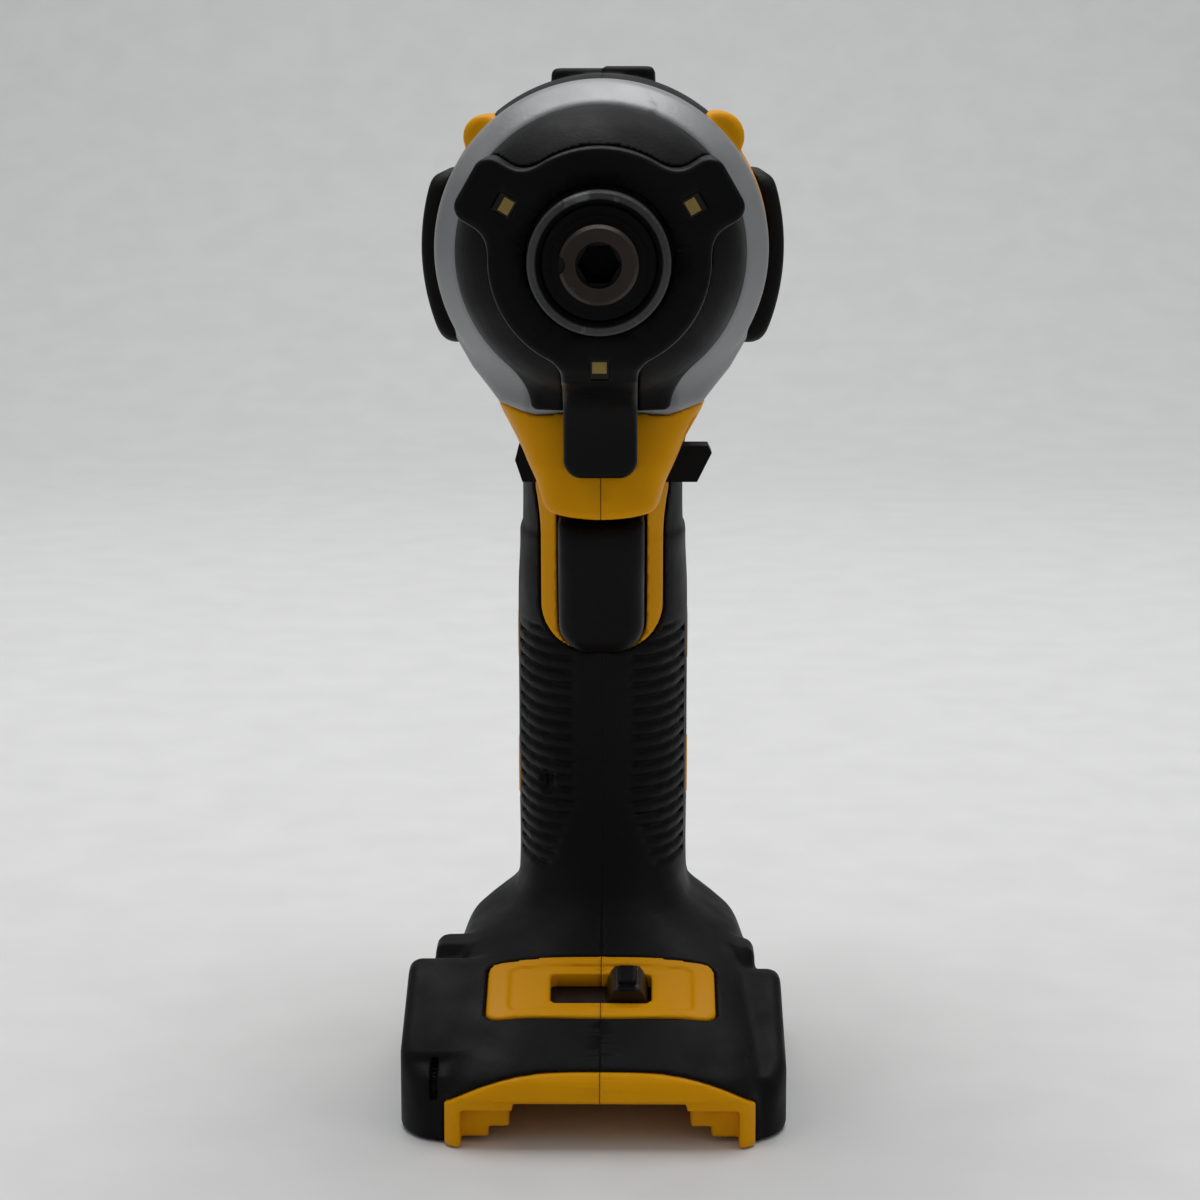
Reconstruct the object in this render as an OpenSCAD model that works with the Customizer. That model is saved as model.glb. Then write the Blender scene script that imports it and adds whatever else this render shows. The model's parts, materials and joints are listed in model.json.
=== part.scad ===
// Cordless impact driver, bare (no battery pack), for quarter-inch hex bits.
// Frame: +Z up, the nose points to -Y, the clamshell's parting plane is x = 0,
// and the tool stands on its battery foot at z = 0.

/* [Overall] */
// Height of the spindle axis above the surface that the tool stands on
axis_z = 165; // [160:1:172]
// Thickness of the tail behind the motor
tail_len = 4.9; // [4.5:0.1:6]

/* [Nose] */
// Diameter of the anvil at its tip
anvil_d = 13.8; // [13:0.1:14.2]
// Width across the flats of the hex socket
socket_af = 6.5; // [6.4:0.05:6.7]
// Depth of the hex socket
socket_depth = 25; // [22:0.5:27]
// Diameter of the socket's round mouth
mouth_d = 7.9; // [7.7:0.1:8.3]
// Depth of the socket's round mouth
mouth_depth = 3; // [2:0.5:4]
// Outer diameter of the bit collar
collar_d = 25; // [24:0.5:25.5]
// Length of the bit collar
collar_len = 12.5; // [12:0.5:14]
// Distance of the collar's front behind the anvil's tip
collar_setback = 4.5; // [4:0.25:5]
// Forward travel of the collar
collar_travel = 3.5; // [3:0.25:3.75]
// Diameter of the detent balls that hold the bit
detent_d = 3.4; // [3:0.1:3.6]
// Outer diameter of the lamp ring round the collar
lamp_ring_d = 39.6; // [38:0.2:41]
// Distance of the lamps from the spindle axis
lamp_reach = 19.2; // [18.5:0.1:20]
// Distance of the lamp lobes' outer ends from the spindle axis
lobe_reach = 27.2; // [26.5:0.1:28]
// Width of a lamp lobe
lobe_w = 12; // [11:0.5:13]
// Width of the tongue below the lamp ring
tongue_w = 13.6; // [12:0.2:15]
// Distance of the tongue's end below the spindle axis
tongue_drop = 41; // [40:0.5:43]

/* [Hammer case] */
// Diameter of the hammer case's bare band
case_d = 63.3; // [62.5:0.1:64]
// Diameter of the rubber boot at its rear edge
boot_d = 54.2; // [53.5:0.1:55]
// Length of the case's nose, from its front to the hammer chamber
case_nose_len = 21; // [20:0.5:22]
// Length of the bare band's cone
case_cone_len = 7.5; // [6.5:0.5:8]
// Length of the bare band's straight part
case_band_len = 8.2; // [7:0.2:9]
// Width of the case's neck at its lower end
case_neck_w = 35.6; // [34:0.2:37]
// Distance of the neck's lower end below the spindle axis
case_neck_drop = 29.5; // [29:0.25:30]

/* [Impact mechanism] */
// Diameter of the hammer
hammer_d = 44; // [43:0.25:44.4]
// Length of the hammer without its jaws
hammer_len = 15.2; // [15:0.2:16]
// Thickness of the anvil's jaws
jaw_len = 6.5; // [6:0.25:6.75]
// Backward travel of the hammer
hammer_travel = 7; // [6.75:0.05:7.2]
// Turn of the hammer over its backward travel, in degrees
hammer_twist = 40; // [35:1:45]
// Diameter of the cam shaft
cam_d = 15; // [14.6:0.1:15.4]
// Diameter of the cam balls
cam_ball_d = 5; // [4.6:0.1:5.2]

/* [Gears] */
// Gear module
gear_m = 0.75; // [0.74:0.005:0.76]
// Teeth on the motor pinion
sun_teeth = 12; // [12]
// Teeth on each planet gear
planet_teeth = 21; // [21]
// Number of planet gears
planet_count = 3; // [3]
// Face width of the planet gears
gear_w = 7; // [6.5:0.25:7.5]
// Diameter of the planet pins
pin_d = 5; // [4.5:0.1:5.4]

/* [Motor] */
// Outer diameter of the stator
stator_d = 52; // [50:0.5:52.6]
// Length of the stator's core
stator_len = 16; // [15:0.5:16.5]
// Diameter of the rotor
rotor_d = 27; // [25:0.5:28]
// Diameter of the rotor's shaft
shaft_d = 5; // [4.5:0.1:5.2]
// Diameter of the cooling fan
fan_d = 47; // [44:0.5:48]

/* [Head housing] */
// Diameter of the housing at its front rim
head_front_d = 64.8; // [64.4:0.1:66]
// Diameter of the housing over the motor
head_rear_d = 60.4; // [60:0.2:62]
// Thickness of the housing's wall
wall = 2.4; // [2.2:0.1:2.6]
// Thickness of the rubber overmould
skin = 1.8; // [1.6:0.1:2]
// Distance of the side bumpers' faces from the middle plane
bumper_reach = 36.8; // [36:0.1:37.2]
// Width of the top bumper
pad_w = 20.6; // [20:0.2:22]
// Height of the top bumper above the spindle axis
pad_top = 34; // [33.8:0.1:35]

/* [Trigger] */
// Width of the trigger
trigger_w = 16.4; // [15:0.2:16.8]
// Height of the trigger
trigger_h = 26.7; // [25:0.1:27]
// Travel of the trigger
trigger_travel = 7; // [6:0.5:7.5]
// Length of the forward and reverse button
button_len = 37.7; // [36:0.1:39]
// Travel of the forward and reverse button, from end to end
button_travel = 4.5; // [4:0.25:4.75]
// Width of the trigger switch's body
switch_w = 15; // [14:0.5:16]

/* [Grip] */
// Width of the grip
grip_w = 34; // [33:0.5:36]
// Height of the lip over the trigger
lip_z = 115.5; // [114.5:0.25:116]
// Front of the lip over the trigger
lip_front_y = -29.5; // [-30:0.25:-28.5]
// Front of the grip below the lip
grip_top_front_y = -11; // [-11.5:0.25:-10]
// Back of the grip below the lip
grip_top_back_y = 34.5; // [34:0.5:37]
// Front of the grip above the foot
grip_foot_front_y = 0; // [-2:0.25:0]
// Back of the grip above the foot
grip_foot_back_y = 44; // [43:0.5:46]
// Width of the neck under the hammer case
neck_w = 36; // [35:0.2:37]

/* [Foot] */
// Height of the foot up to the start of the grip
foot_h = 42; // [40:0.5:44]
// Width of the foot between its side lugs
foot_w = 61; // [60:0.5:63]
// Front of the foot
foot_front_y = -50; // [-51:0.25:-49]
// Back of the foot
foot_back_y = 47; // [46:0.5:49]
// Width of the battery bay
bay_w = 52; // [51:0.25:53]
// Height of the battery bay
bay_h = 8.4; // [8:0.1:8.8]
// Reach of the left side lug from the middle plane
lug_left_reach = 38; // [37:0.25:38.5]
// Reach of the right side lug from the middle plane
lug_right_reach = 36.6; // [36:0.25:37]
// Width of the selector's slot
slot_w = 19.5; // [19:0.25:21]
// Travel of the speed selector
selector_travel = 10; // [9:0.5:10.5]
// Minor diameter of the belt hook inserts' thread
hook_thread_d = 3.3; // [3:0.1:3.5]
// Length of the belt hook inserts
hook_insert_len = 8; // [7:0.5:8]

/* [Fits] */
// Radial clearance of a running fit
run_fit = 0.06; // [0.04:0.01:0.08]
// Gap between pieces that are fixed to each other
seat_gap = 0.2; // [0.15:0.05:0.25]
// Gap between a moving piece and what it passes
move_gap = 0.4; // [0.35:0.05:0.5]

/* [Hidden] */
$fn = 32;
// Overrun of every cut past the face that it goes through
over = 1;
// Facets of the small round parts of the moulded shells, and a radius that their flats clear
boss_fn = 16;
function clear_r(r, facets = $fn) = r / cos(180 / facets);

// Stations along the spindle axis: the hammer chamber stands behind the lip's front,
// the nose is ahead of it and the mechanism and motor are behind it
chamber_setback = 1.5;
chamber_y = lip_front_y + chamber_setback;
case_y0 = chamber_y - case_nose_len;
nose_gap = 1.5;
collar_y1 = case_y0 - nose_gap;
collar_y0 = collar_y1 - collar_len;
nose_y = collar_y0 - collar_setback;
jaw_gap = 2;
jaw_y0 = chamber_y + jaw_gap;
jaw_y1 = jaw_y0 + jaw_len;
face_gap = 0.8;
hammer_y0 = jaw_y1 + face_gap;
hammer_y1 = hammer_y0 + hammer_len;
rear_gap = 1;
ring_y0 = hammer_y1 + hammer_travel + rear_gap;
flange_len = 3;
flange_y0 = ring_y0 + seat_gap * 2;
gear_y0 = flange_y0 + flange_len + move_gap;
gear_y1 = gear_y0 + gear_w;
rear_flange_y0 = gear_y1 + move_gap;
rear_flange_y1 = rear_flange_y0 + flange_len;
ring_y1 = gear_y1 + move_gap;
plate_y0 = ring_y1 + seat_gap;
case_y1 = rear_flange_y1 + move_gap;
plate_len = 5;
plate_y1 = case_y1 + plate_len;
bearing_len = 4;
cam_bearing_y0 = rear_flange_y1 + move_gap;
front_bearing_y0 = plate_y1;
fan_y0 = front_bearing_y0 + bearing_len + face_gap;
fan_len = 5.5;
fan_y1 = fan_y0 + fan_len;
insulator_len = 2.5;
stator_y0 = fan_y1 + rear_gap + insulator_len;
stator_y1 = stator_y0 + stator_len;
board_len = 1;
board_y0 = stator_y1 + insulator_len + seat_gap;
rear_bearing_y0 = board_y0 + board_len + face_gap;
rear_bearing_y1 = rear_bearing_y0 + bearing_len;
tail_wall_y = rear_bearing_y1 + seat_gap;
tail_y = tail_wall_y + tail_len;
head_len = tail_y - nose_y;

// Radii of the nose and the hammer case
anvil_r = anvil_d / 2;
journal_step = 0.6;
journal_r = anvil_r + journal_step;
bush_wall = 2;
bush_r = journal_r + run_fit + bush_wall;
collar_r = collar_d / 2;
case_r = case_d / 2;
boot_r = boot_d / 2;
hammer_r = hammer_d / 2;
chamber_r = hammer_r + move_gap * 1.5;
case_nose_wall = 2.4;
case_nose_r = bush_r + case_nose_wall;
case_front_r = chamber_r + wall;
boot_y1 = case_y0 + case_nose_len + wall;
band_y0 = boot_y1 + case_cone_len;
band_y1 = band_y0 + case_band_len;
spigot_r = case_r - wall + move_gap;
ring_seat_r = spigot_r - wall - seat_gap;
rim_y = band_y1 + seat_gap * 1.5;

// Gears: pitch radii, and teeth with a short addendum
ring_teeth = sun_teeth + 2 * planet_teeth;
sun_pitch_r = gear_m * sun_teeth / 2;
planet_pitch_r = gear_m * planet_teeth / 2;
ring_pitch_r = gear_m * ring_teeth / 2;
planet_reach = sun_pitch_r + planet_pitch_r;
addendum_share = 0.8;
dedendum_share = 1.1;
backlash_share = 0.06;
pressure_angle = 25;
flange_r = ring_pitch_r - gear_m * addendum_share - rear_gap;
pin_r = pin_d / 2;
pillar_r = pin_r + move_gap;
cam_r = cam_d / 2;
cam_ball_r = cam_ball_d / 2;
cam_ball_reach = cam_r + cam_ball_r / 5;
cam_ball_y = hammer_y0 + cam_ball_d * 0.84;
spring_room_y = cam_ball_y + cam_ball_r + wall / 3;
spring_room_r = hammer_r - wall * 1.6;
thrust_ball_r = 1;
thrust_ball_count = 20;
thrust_y = spring_room_y + 2 * thrust_ball_r + seat_gap / 2;
washer_len = 1.2;
spring_y0 = thrust_y + washer_len;
spring_y1 = flange_y0 - washer_len;
thrust_reach = (cam_r + spring_room_r) / 2 + move_gap;
washer_r = spring_room_r - move_gap;
hammer_wire_r = 1.1;
hammer_spring_turns = 2.5;
pilot_r = cam_r * 0.46;
pilot_len = 8;
journal_bore_r = sun_pitch_r + gear_m * addendum_share + move_gap * 1.8;
cam_journal_r = journal_bore_r + wall * 1.6;
cam_bearing_r = cam_journal_r * 1.5;
shaft_r = shaft_d / 2;
motor_bearing_r = 8;
boss_wall = 2.4;
stator_r = stator_d / 2;
rotor_r = rotor_d / 2;
air_gap = 0.7;
coil_count = 6;

// Radii of the housing's head
head_front_r = head_front_d / 2;
head_rear_r = head_rear_d / 2;
front_cavity_r = clear_r(spigot_r + seat_gap);
motor_cavity_r = head_rear_r - wall;
motor_y = plate_y1 + seat_gap;

// Two lists blended by a share between 0 and 1
function blend(a, b, share) = a + (b - a) * share;

// Moulded body: horizontal sections of the foot, grip and neck.
// A section is [height, front, back, half width, front fullness, back fullness].
foot_rows_shares = [
    [0, 1, 1, 1, 14, 5], [0.2, 1, 1, 1, 12, 5], [0.29, 0.985, 1, 0.99, 8, 4.6],
    [0.357, 0.93, 1, 0.97, 5.5, 4.2], [0.452, 0.72, 1, 0.93, 4.4, 4],
    [0.56, 0.50, 0.95, 0.82, 3.8, 3.6], [0.65, 0.31, 0.8, 0.58, 3.3, 3.4],
    [0.74, 0.17, 0.55, 0.25, 2.9, 3.2], [0.86, 0.06, 0.2, 0.04, 2.6, 3]];
grip_rows_shares = [
    [0, 1], [0.2, 0.995], [0.42, 0.99], [0.6, 1.01], [0.74, 1.0], [0.89, 0.97], [0.92, 0.905], [1, 0.895],
    [1.4, 0.87]];
neck_rows_shares = [
    [0, 0.59, 0], [0.2, 0.655, 0.04], [0.5, 0.84, 0.2], [0.8, 1.03, 0.5], [1, 1.08, 0.8], [1.5, 1.08, 1]];
grip_front_fullness = 2.6;
grip_back_fullness = 2.5;
neck_front_fullness = 2.3;
neck_top_z = axis_z - case_neck_drop + wall * 2;
neck_front_y = lip_front_y + wall * 3;
neck_back_y = grip_top_front_y + wall * 6;

function foot_row(r) = [
    foot_h * r[0], blend(grip_foot_front_y, foot_front_y, r[1]),
    blend(grip_foot_back_y, foot_back_y, r[2]), blend(grip_w, foot_w, r[3]) / 2, r[4], r[5]];
function grip_row(r) = [
    blend(foot_h, lip_z, r[0]), blend(grip_foot_front_y, grip_top_front_y, r[0]),
    blend(grip_foot_back_y, grip_top_back_y, r[0]), grip_w * r[1] / 2,
    grip_front_fullness, grip_back_fullness];
function neck_row(r) = [
    blend(lip_z, neck_top_z, r[0]), blend(lip_front_y, neck_front_y, r[2]),
    neck_back_y, neck_w * r[1] / 2, neck_front_fullness, grip_back_fullness];
body_rows = concat([for (r = foot_rows_shares) foot_row(r)], [for (r = grip_rows_shares) grip_row(r)]);
neck_rows = [for (r = neck_rows_shares) neck_row(r)];

section_points = 28;
widest_share = 0.55;

// One section as points, drawn in by an inset
function section(row, inset) = [
    for (i = [0 : section_points - 1])
        let (a = 360 * i / section_points,
             mid = blend(row[1], row[2], widest_share),
             full = sin(a) < 0 ? row[4] : row[5],
             reach = sin(a) < 0 ? mid - row[1] - inset : row[2] - mid - inset)
        [(row[3] - inset) * sign(cos(a)) * pow(abs(cos(a)), 2 / full),
         mid + reach * sign(sin(a)) * pow(abs(sin(a)), 2 / full), row[0]]];

// Solid through a list of sections
module loft(rows, inset = 0) {
    n = section_points;
    count = len(rows);
    points = [for (row = rows) each section(row, inset)];
    sides = [for (j = [0 : count - 2], i = [0 : n - 1])
        let (k = (i + 1) % n)
        each [[j * n + i, (j + 1) * n + k, j * n + k], [j * n + i, (j + 1) * n + i, (j + 1) * n + k]]];
    bottom = [for (i = [0 : n - 1]) i];
    top = [for (i = [n - 1 : -1 : 0]) (count - 1) * n + i];
    polyhedron(points, concat(sides, [bottom, top]));
}

// Keeps a moulded shell together as one body
module one_body() { resize([0, 0, 0]) children(); }

// Places a shape that is drawn along Z on the spindle axis, so that its Z is the tool's Y
module on_axis(y = 0) { translate([0, y, axis_z]) rotate([-90, 0, 0]) children(); }
// Turns a shape on the spindle axis, counterclockwise as seen from the nose
module turned(angle) { rotate([0, 0, -angle]) children(); }
module tube(y0, y1, r_out, r_in) {
    on_axis(y0) difference() {
        cylinder(r = r_out, h = y1 - y0);
        translate([0, 0, -over]) cylinder(r = r_in, h = y1 - y0 + 2 * over);
    }
}
module rod(y0, y1, r) { on_axis(y0) cylinder(r = r, h = y1 - y0); }
// Solid of revolution about the spindle axis from [radius, station] points
module turned_solid(points) { on_axis() rotate_extrude() polygon(points); }
// Cylinder across the tool, from one x to another
module cross_rod(x0, x1, y, z, r) {
    translate([x0, y, z]) rotate([0, 90, 0]) cylinder(r = r, h = x1 - x0, $fn = boss_fn);
}
module block(low, high) { translate(low) cube(high - low); }

// Unbroken wire helix along Z, as one solid with six sides
wire_sides = 6;
rings_per_turn = 12;
module coil_spring(reach, wire, length, turns) {
    rings = round(turns * rings_per_turn);
    rise = length - 2 * wire;
    points = [for (j = [0 : rings], i = [0 : wire_sides - 1])
        let (a = 360 * turns * j / rings, b = 360 * i / wire_sides, r = reach + wire * cos(b))
        [r * cos(a), r * sin(a), wire + rise * j / rings + wire * sin(b)]];
    sides = [for (j = [0 : rings - 1], i = [0 : wire_sides - 1])
        let (k = (i + 1) % wire_sides, a = j * wire_sides, b = (j + 1) * wire_sides)
        each [[a + i, a + k, b + k], [a + i, b + k, b + i]]];
    first = [for (i = [wire_sides - 1 : -1 : 0]) i];
    last = [for (i = [0 : wire_sides - 1]) rings * wire_sides + i];
    polyhedron(points, concat(sides, [first, last]));
}

// Ball bearing: two rings and the balls between them
bearing_ring_share = 0.3;
module ball_bearing(y0, length, r_in, r_out, balls) {
    ring = (r_out - r_in) * bearing_ring_share;
    tube(y0, y0 + length, r_out, r_out - ring);
    tube(y0, y0 + length, r_in + ring, r_in);
    room = r_out - r_in - 2 * ring;
    on_axis(y0 + length / 2) for (i = [1 : balls])
        turned(360 * i / balls) translate([(r_in + r_out) / 2, 0, 0]) sphere(r = room / 2 - run_fit / 2);
}

// Involute tooth flank: angle and radius at a share of the tooth's height
function involute(base, r) = let (a = acos(min(1, base / r))) tan(a) * 180 / PI - a;
flank_steps = 3;
// Outline of a gear; thin is how much each tooth gives up at the pitch circle
module gear_outline(teeth, tip_share, root_share, thin) {
    pitch = gear_m * teeth / 2;
    base = pitch * cos(pressure_angle);
    tip = pitch + gear_m * tip_share;
    root = pitch - gear_m * root_share;
    start = max(root, base);
    half = 90 / teeth - thin / pitch * 90 / PI + involute(base, pitch);
    flank = [for (i = [0 : flank_steps])
             let (r = blend(start, tip, i / flank_steps)) [r, half - involute(base, r)]];
    foot = root < start ? [[root, half]] : [];
    side = concat(foot, flank);
    count = len(side);
    polygon([for (t = [0 : teeth - 1], i = [0 : 2 * count - 1])
        let (p = i < count ? side[i] : side[2 * count - 1 - i],
             a = 360 * t / teeth + (i < count ? -p[1] : p[1]))
        [p[0] * cos(a), p[0] * sin(a)]]);
}
gear_thin = gear_m * backlash_share;
first_planet_angle = 90;
function planet_angle(i) = first_planet_angle + 360 * i / planet_count;
// Turn of a planet at an angle that brings its gap to the pinion's tooth
function planet_phase(a) = a + 180 - (0.5 - a * sun_teeth / 360) * 360 / planet_teeth;
ring_phase = first_planet_angle * (1 + sun_teeth / ring_teeth) + 180 * planet_teeth / ring_teeth;

// Outer form of the hammer case, grown by a gap
module case_form(gap) {
    turned_solid([[0, case_y0], [case_nose_r + gap, case_y0], [case_nose_r + gap, case_y0 + nose_gap],
                  [case_front_r - wall + gap, chamber_y - 3.6 * wall],
                  [case_front_r + gap, chamber_y - wall], [case_front_r + gap, boot_y1],
                  [boot_r + gap, boot_y1], [case_r + gap, band_y0], [case_r + gap, band_y1 + gap],
                  [spigot_r + gap, band_y1 + gap], [spigot_r + gap, case_y1], [0, case_y1]]);
    case_neck_form(gap);
}
neck_slope_share = 0.31;
module case_neck_form(gap) {
    up = case_r * neck_slope_share;
    top = sqrt(case_r * case_r - up * up);
    low = case_neck_w / 2;
    on_axis(boot_y1) linear_extrude(height = band_y1 + gap - boot_y1)
        polygon([[-top, up], [top, up], [low + gap, case_neck_drop - wall],
                 [low + gap, case_neck_drop + gap], [-low - gap, case_neck_drop + gap],
                 [-low - gap, case_neck_drop - wall]]);
}
// Outer form of the nose boot, grown by a gap
skirt_w = case_neck_w * 0.72;
skirt_len = 3;
boot_y0 = case_y0 + nose_gap / 2;
module boot_form(gap) {
    turned_solid([[0, boot_y0 - gap], [case_nose_r + wall + gap, boot_y0 - gap],
                  [case_front_r - wall / 5 + gap, chamber_y - 4.2 * wall],
                  [boot_r + gap, chamber_y - 1.5 * wall], [boot_r + gap, boot_y1], [0, boot_y1]]);
    on_axis(boot_y1 - skirt_len - gap) translate([-skirt_w / 2 - gap, 0, 0])
        cube([skirt_w + 2 * gap, case_neck_drop - wall / 5 + gap, skirt_len + gap]);
}
// Outer form of the lamp ring with its lobes and tongue, grown by a gap
lamp_y0 = collar_y0 + collar_len * 0.76;
lamp_end = chamber_y - wall;
hull_fn = 32;
slice = 0.5;
lamp_angles = [30, 150, 270];
tongue_end_len = 6;
module lamp_form(gap) {
    ring_r = lamp_ring_d / 2 + gap;
    lobe_r = lobe_w / 2 + gap;
    rod(lamp_y0 - gap, boot_y0 + wall * 2, ring_r);
    for (a = [lamp_angles[0], lamp_angles[1]]) on_axis() hull() {
        turned(a) translate([lamp_reach - lobe_w / 8, 0, lamp_y0 - gap])
            cylinder(r = lobe_r * 0.9, h = slice, $fn = hull_fn);
        turned(a) translate([lobe_reach - lobe_w / 2, 0, lamp_end - wall * 2])
            cylinder(r = lobe_r, h = wall * 2, $fn = hull_fn);
        turned(a) translate([lamp_ring_d / 4, -lobe_w / 2, lamp_y0]) cube([slice, lobe_w, wall * 2]);
    }
    side = tongue_w / 2 + gap;
    round_r = tongue_w / 5;
    knee = lamp_reach + lobe_w / 2;
    on_axis() hull() {
        translate([-side, lamp_ring_d / 4, lamp_y0 - gap])
            cube([2 * side, lamp_reach - lamp_ring_d / 8, slice]);
        translate([-side, lamp_ring_d / 4, lamp_end]) cube([2 * side, knee - lamp_ring_d / 4, wall]);
    }
    on_axis() hull() {
        translate([-side, knee - lobe_w / 2, lamp_y0 + wall * 5])
            cube([2 * side, slice, lamp_end - lamp_y0 - wall * 4]);
        for (s = [-1, 1])
            translate([s * (side - round_r), tongue_drop + gap - round_r, lamp_end - tongue_end_len])
            cylinder(r = round_r, h = tongue_end_len + wall, $fn = hull_fn);
    }
}

// Outer form of the housing's head, drawn in by an inset
module head_form(inset) {
    tail_r = head_rear_r;
    turned_solid([[0, rim_y + inset], [head_front_r - inset, rim_y + inset],
                  [head_front_r - inset, plate_y1], [head_rear_r + wall / 3 - inset, fan_y1],
                  [head_rear_r - inset, stator_y1], [tail_r * 0.95 - inset, tail_y - wall * 2.6],
                  [tail_r * 0.85 - inset, tail_y - wall * 0.9 - inset],
                  [tail_r * 0.64 - inset, tail_y - inset], [0, tail_y - inset]]);
}
// Yellow bosses beside the hammer case
shoulder_r = 4.2;
shoulder_angle = 43;
shoulder_len = 20;
module shoulders() {
    for (a = [shoulder_angle, 180 - shoulder_angle]) on_axis(rim_y + over) turned(a)
        translate([head_front_r - shoulder_r / 2, 0, 0]) cylinder(r = shoulder_r, h = shoulder_len);
}
bezel_len = 4.2;
// Side lugs of the foot: side views as shares of the lug's length and height
lug_left_shares = [[0.01, 0], [0, 0.12], [0.03, 0.46], [0.43, 0.97], [0.47, 0.98], [1, 0.5], [1, 0]];
lug_right_shares = [[0.02, 0], [0.01, 0.12], [0.05, 0.44], [0.46, 0.877], [0.5, 0.88], [1, 0.45], [1, 0]];
shoulder_shares = [[0.53, 0], [0.55, 0.85], [0.6, 1], [0.68, 1], [0.92, 0.77], [0.97, 0]];
shoulder_left_reach = 33.4;
shoulder_right_reach = 29.6;
lug_h = 26;
lug_front_y = foot_front_y + bezel_len + wall / 4;
lug_back_y = foot_back_y * 0.55;
lug_len = lug_back_y - lug_front_y;
lug_round = 2.2;
lug_corner = 9;
module lug(shares, reach, side, inset) {
    inner = foot_w / 2 - wall * 3;
    outline = [for (p = shares) [blend(lug_front_y, lug_back_y, p[0]), lug_h * p[1]]];
    intersection() {
        hull() {
            lug_slice(outline, side, inner, reach - lug_round - inset, inset);
            lug_slice(outline, side, inner, reach - inset, inset + lug_round);
        }
        mirror([side < 0 ? 1 : 0, 0, 0]) linear_extrude(height = 3 * lug_h, center = true)
            lug_plan(reach, inset);
    }
}
// Plan that rounds a lug's outer front corner and clears its other faces
module lug_plan(reach, inset) {
    offset(r = lug_corner - inset + over) translate([0, lug_front_y + lug_corner])
        square([reach - lug_corner, lug_len]);
}
module lug_slice(outline, side, x0, x1, inset) {
    below = skin + wall;
    mirror([side < 0 ? 1 : 0, 0, 0]) translate([x0, 0, 0]) rotate([90, 0, 90])
        linear_extrude(height = x1 - x0)
        intersection() {
            offset(delta = -inset)
                polygon(concat(outline, [[outline[len(outline) - 1][0], -lug_h], [outline[0][0], -lug_h]]));
            translate([lug_front_y, -below]) square([lug_len, lug_h + below]);
        }
}
module lugs(inset) {
    lug(lug_left_shares, lug_left_reach, -1, inset);
    lug(lug_right_shares, lug_right_reach, 1, inset);
    lug(shoulder_shares, shoulder_left_reach, -1, inset);
    lug(shoulder_shares, shoulder_right_reach, 1, inset);
}

// Selector place: on the foot's sloping top, with its own frame
selector_y_share = 0.493;
selector_slope = 20;
selector_y = blend(grip_foot_front_y, foot_front_y, selector_y_share);
selector_z = foot_h * 0.59;
module at_selector() { translate([0, selector_y, selector_z]) rotate([selector_slope, 0, 0]) children(); }
slot_depth = 8.6;
plate_w = slot_w * 2.26;
plate_depth = slot_depth * 2.1;

// What the rubber leaves bare, as cuts through the overmould
guard_w = trigger_w * 1.49;
guard_z0 = lip_z - trigger_h - wall;
guard_corner = guard_w * 0.3;
bezel_wall = 3.1;
bezel_w = bay_w + 2 * bezel_wall;
bezel_h = 14.9;
bezel_arch_shares = [[1, 0.64], [0.85, 0.8], [0.65, 0.92], [0.35, 1], [-0.35, 1], [-0.65, 0.92],
                     [-0.85, 0.8], [-1, 0.64]];
// Solid drawn in a front view, from one station along the axis to another
module front_view(y0, y1) {
    translate([0, y1, 0]) rotate([90, 0, 0]) linear_extrude(height = y1 - y0) children();
}
stripe_z = blend(foot_h, lip_z, 0.47);
stripe_h = 36;
stripe_len = 9;
module bare_places() {
    side = guard_w / 2;
    front_view(lip_front_y - over, grip_top_front_y + wall * 3)
        polygon([[guard_corner - side, guard_z0], [side - guard_corner, guard_z0],
                 [side, guard_z0 + guard_corner], [side, lip_z + over], [-side, lip_z + over],
                 [-side, guard_z0 + guard_corner]]);
    front_view(foot_front_y - over, foot_front_y + bezel_len)
        polygon(concat([[-bezel_w / 2, -over], [bezel_w / 2, -over]],
                       [for (p = bezel_arch_shares) [p[0] * bezel_w / 2, p[1] * bezel_h]]));
    at_selector() linear_extrude(height = foot_h, center = true)
        offset(r = wall) square([plate_w - 2 * wall, plate_depth - 2 * wall], center = true);
    for (s = [-1, 1])
        translate([s * grip_w / 2, blend(grip_top_back_y, grip_foot_back_y, 0.5) / 2, stripe_z])
        scale([1, stripe_len / stripe_h, 1]) rotate([0, 90, 0])
            cylinder(d = stripe_h, h = skin * 4, center = true);
}
// Rubber zone of the grip, from the side: below a line that rises to the back
module grip_zone() {
    rise_z = axis_z - head_front_r;
    rotate([90, 0, 90]) translate([0, 0, -foot_w]) linear_extrude(height = 2 * foot_w)
        polygon([[foot_front_y - over, -over], [foot_back_y + over, -over], [tail_y, foot_h],
                 [tail_y, rise_z + wall], [grip_top_back_y, rise_z + wall / 2], [0, lip_z + 4 * wall],
                 [grip_top_front_y + wall * 2, lip_z], [lip_front_y, lip_z],
                 [foot_front_y - over, foot_h]]);
}

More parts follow.
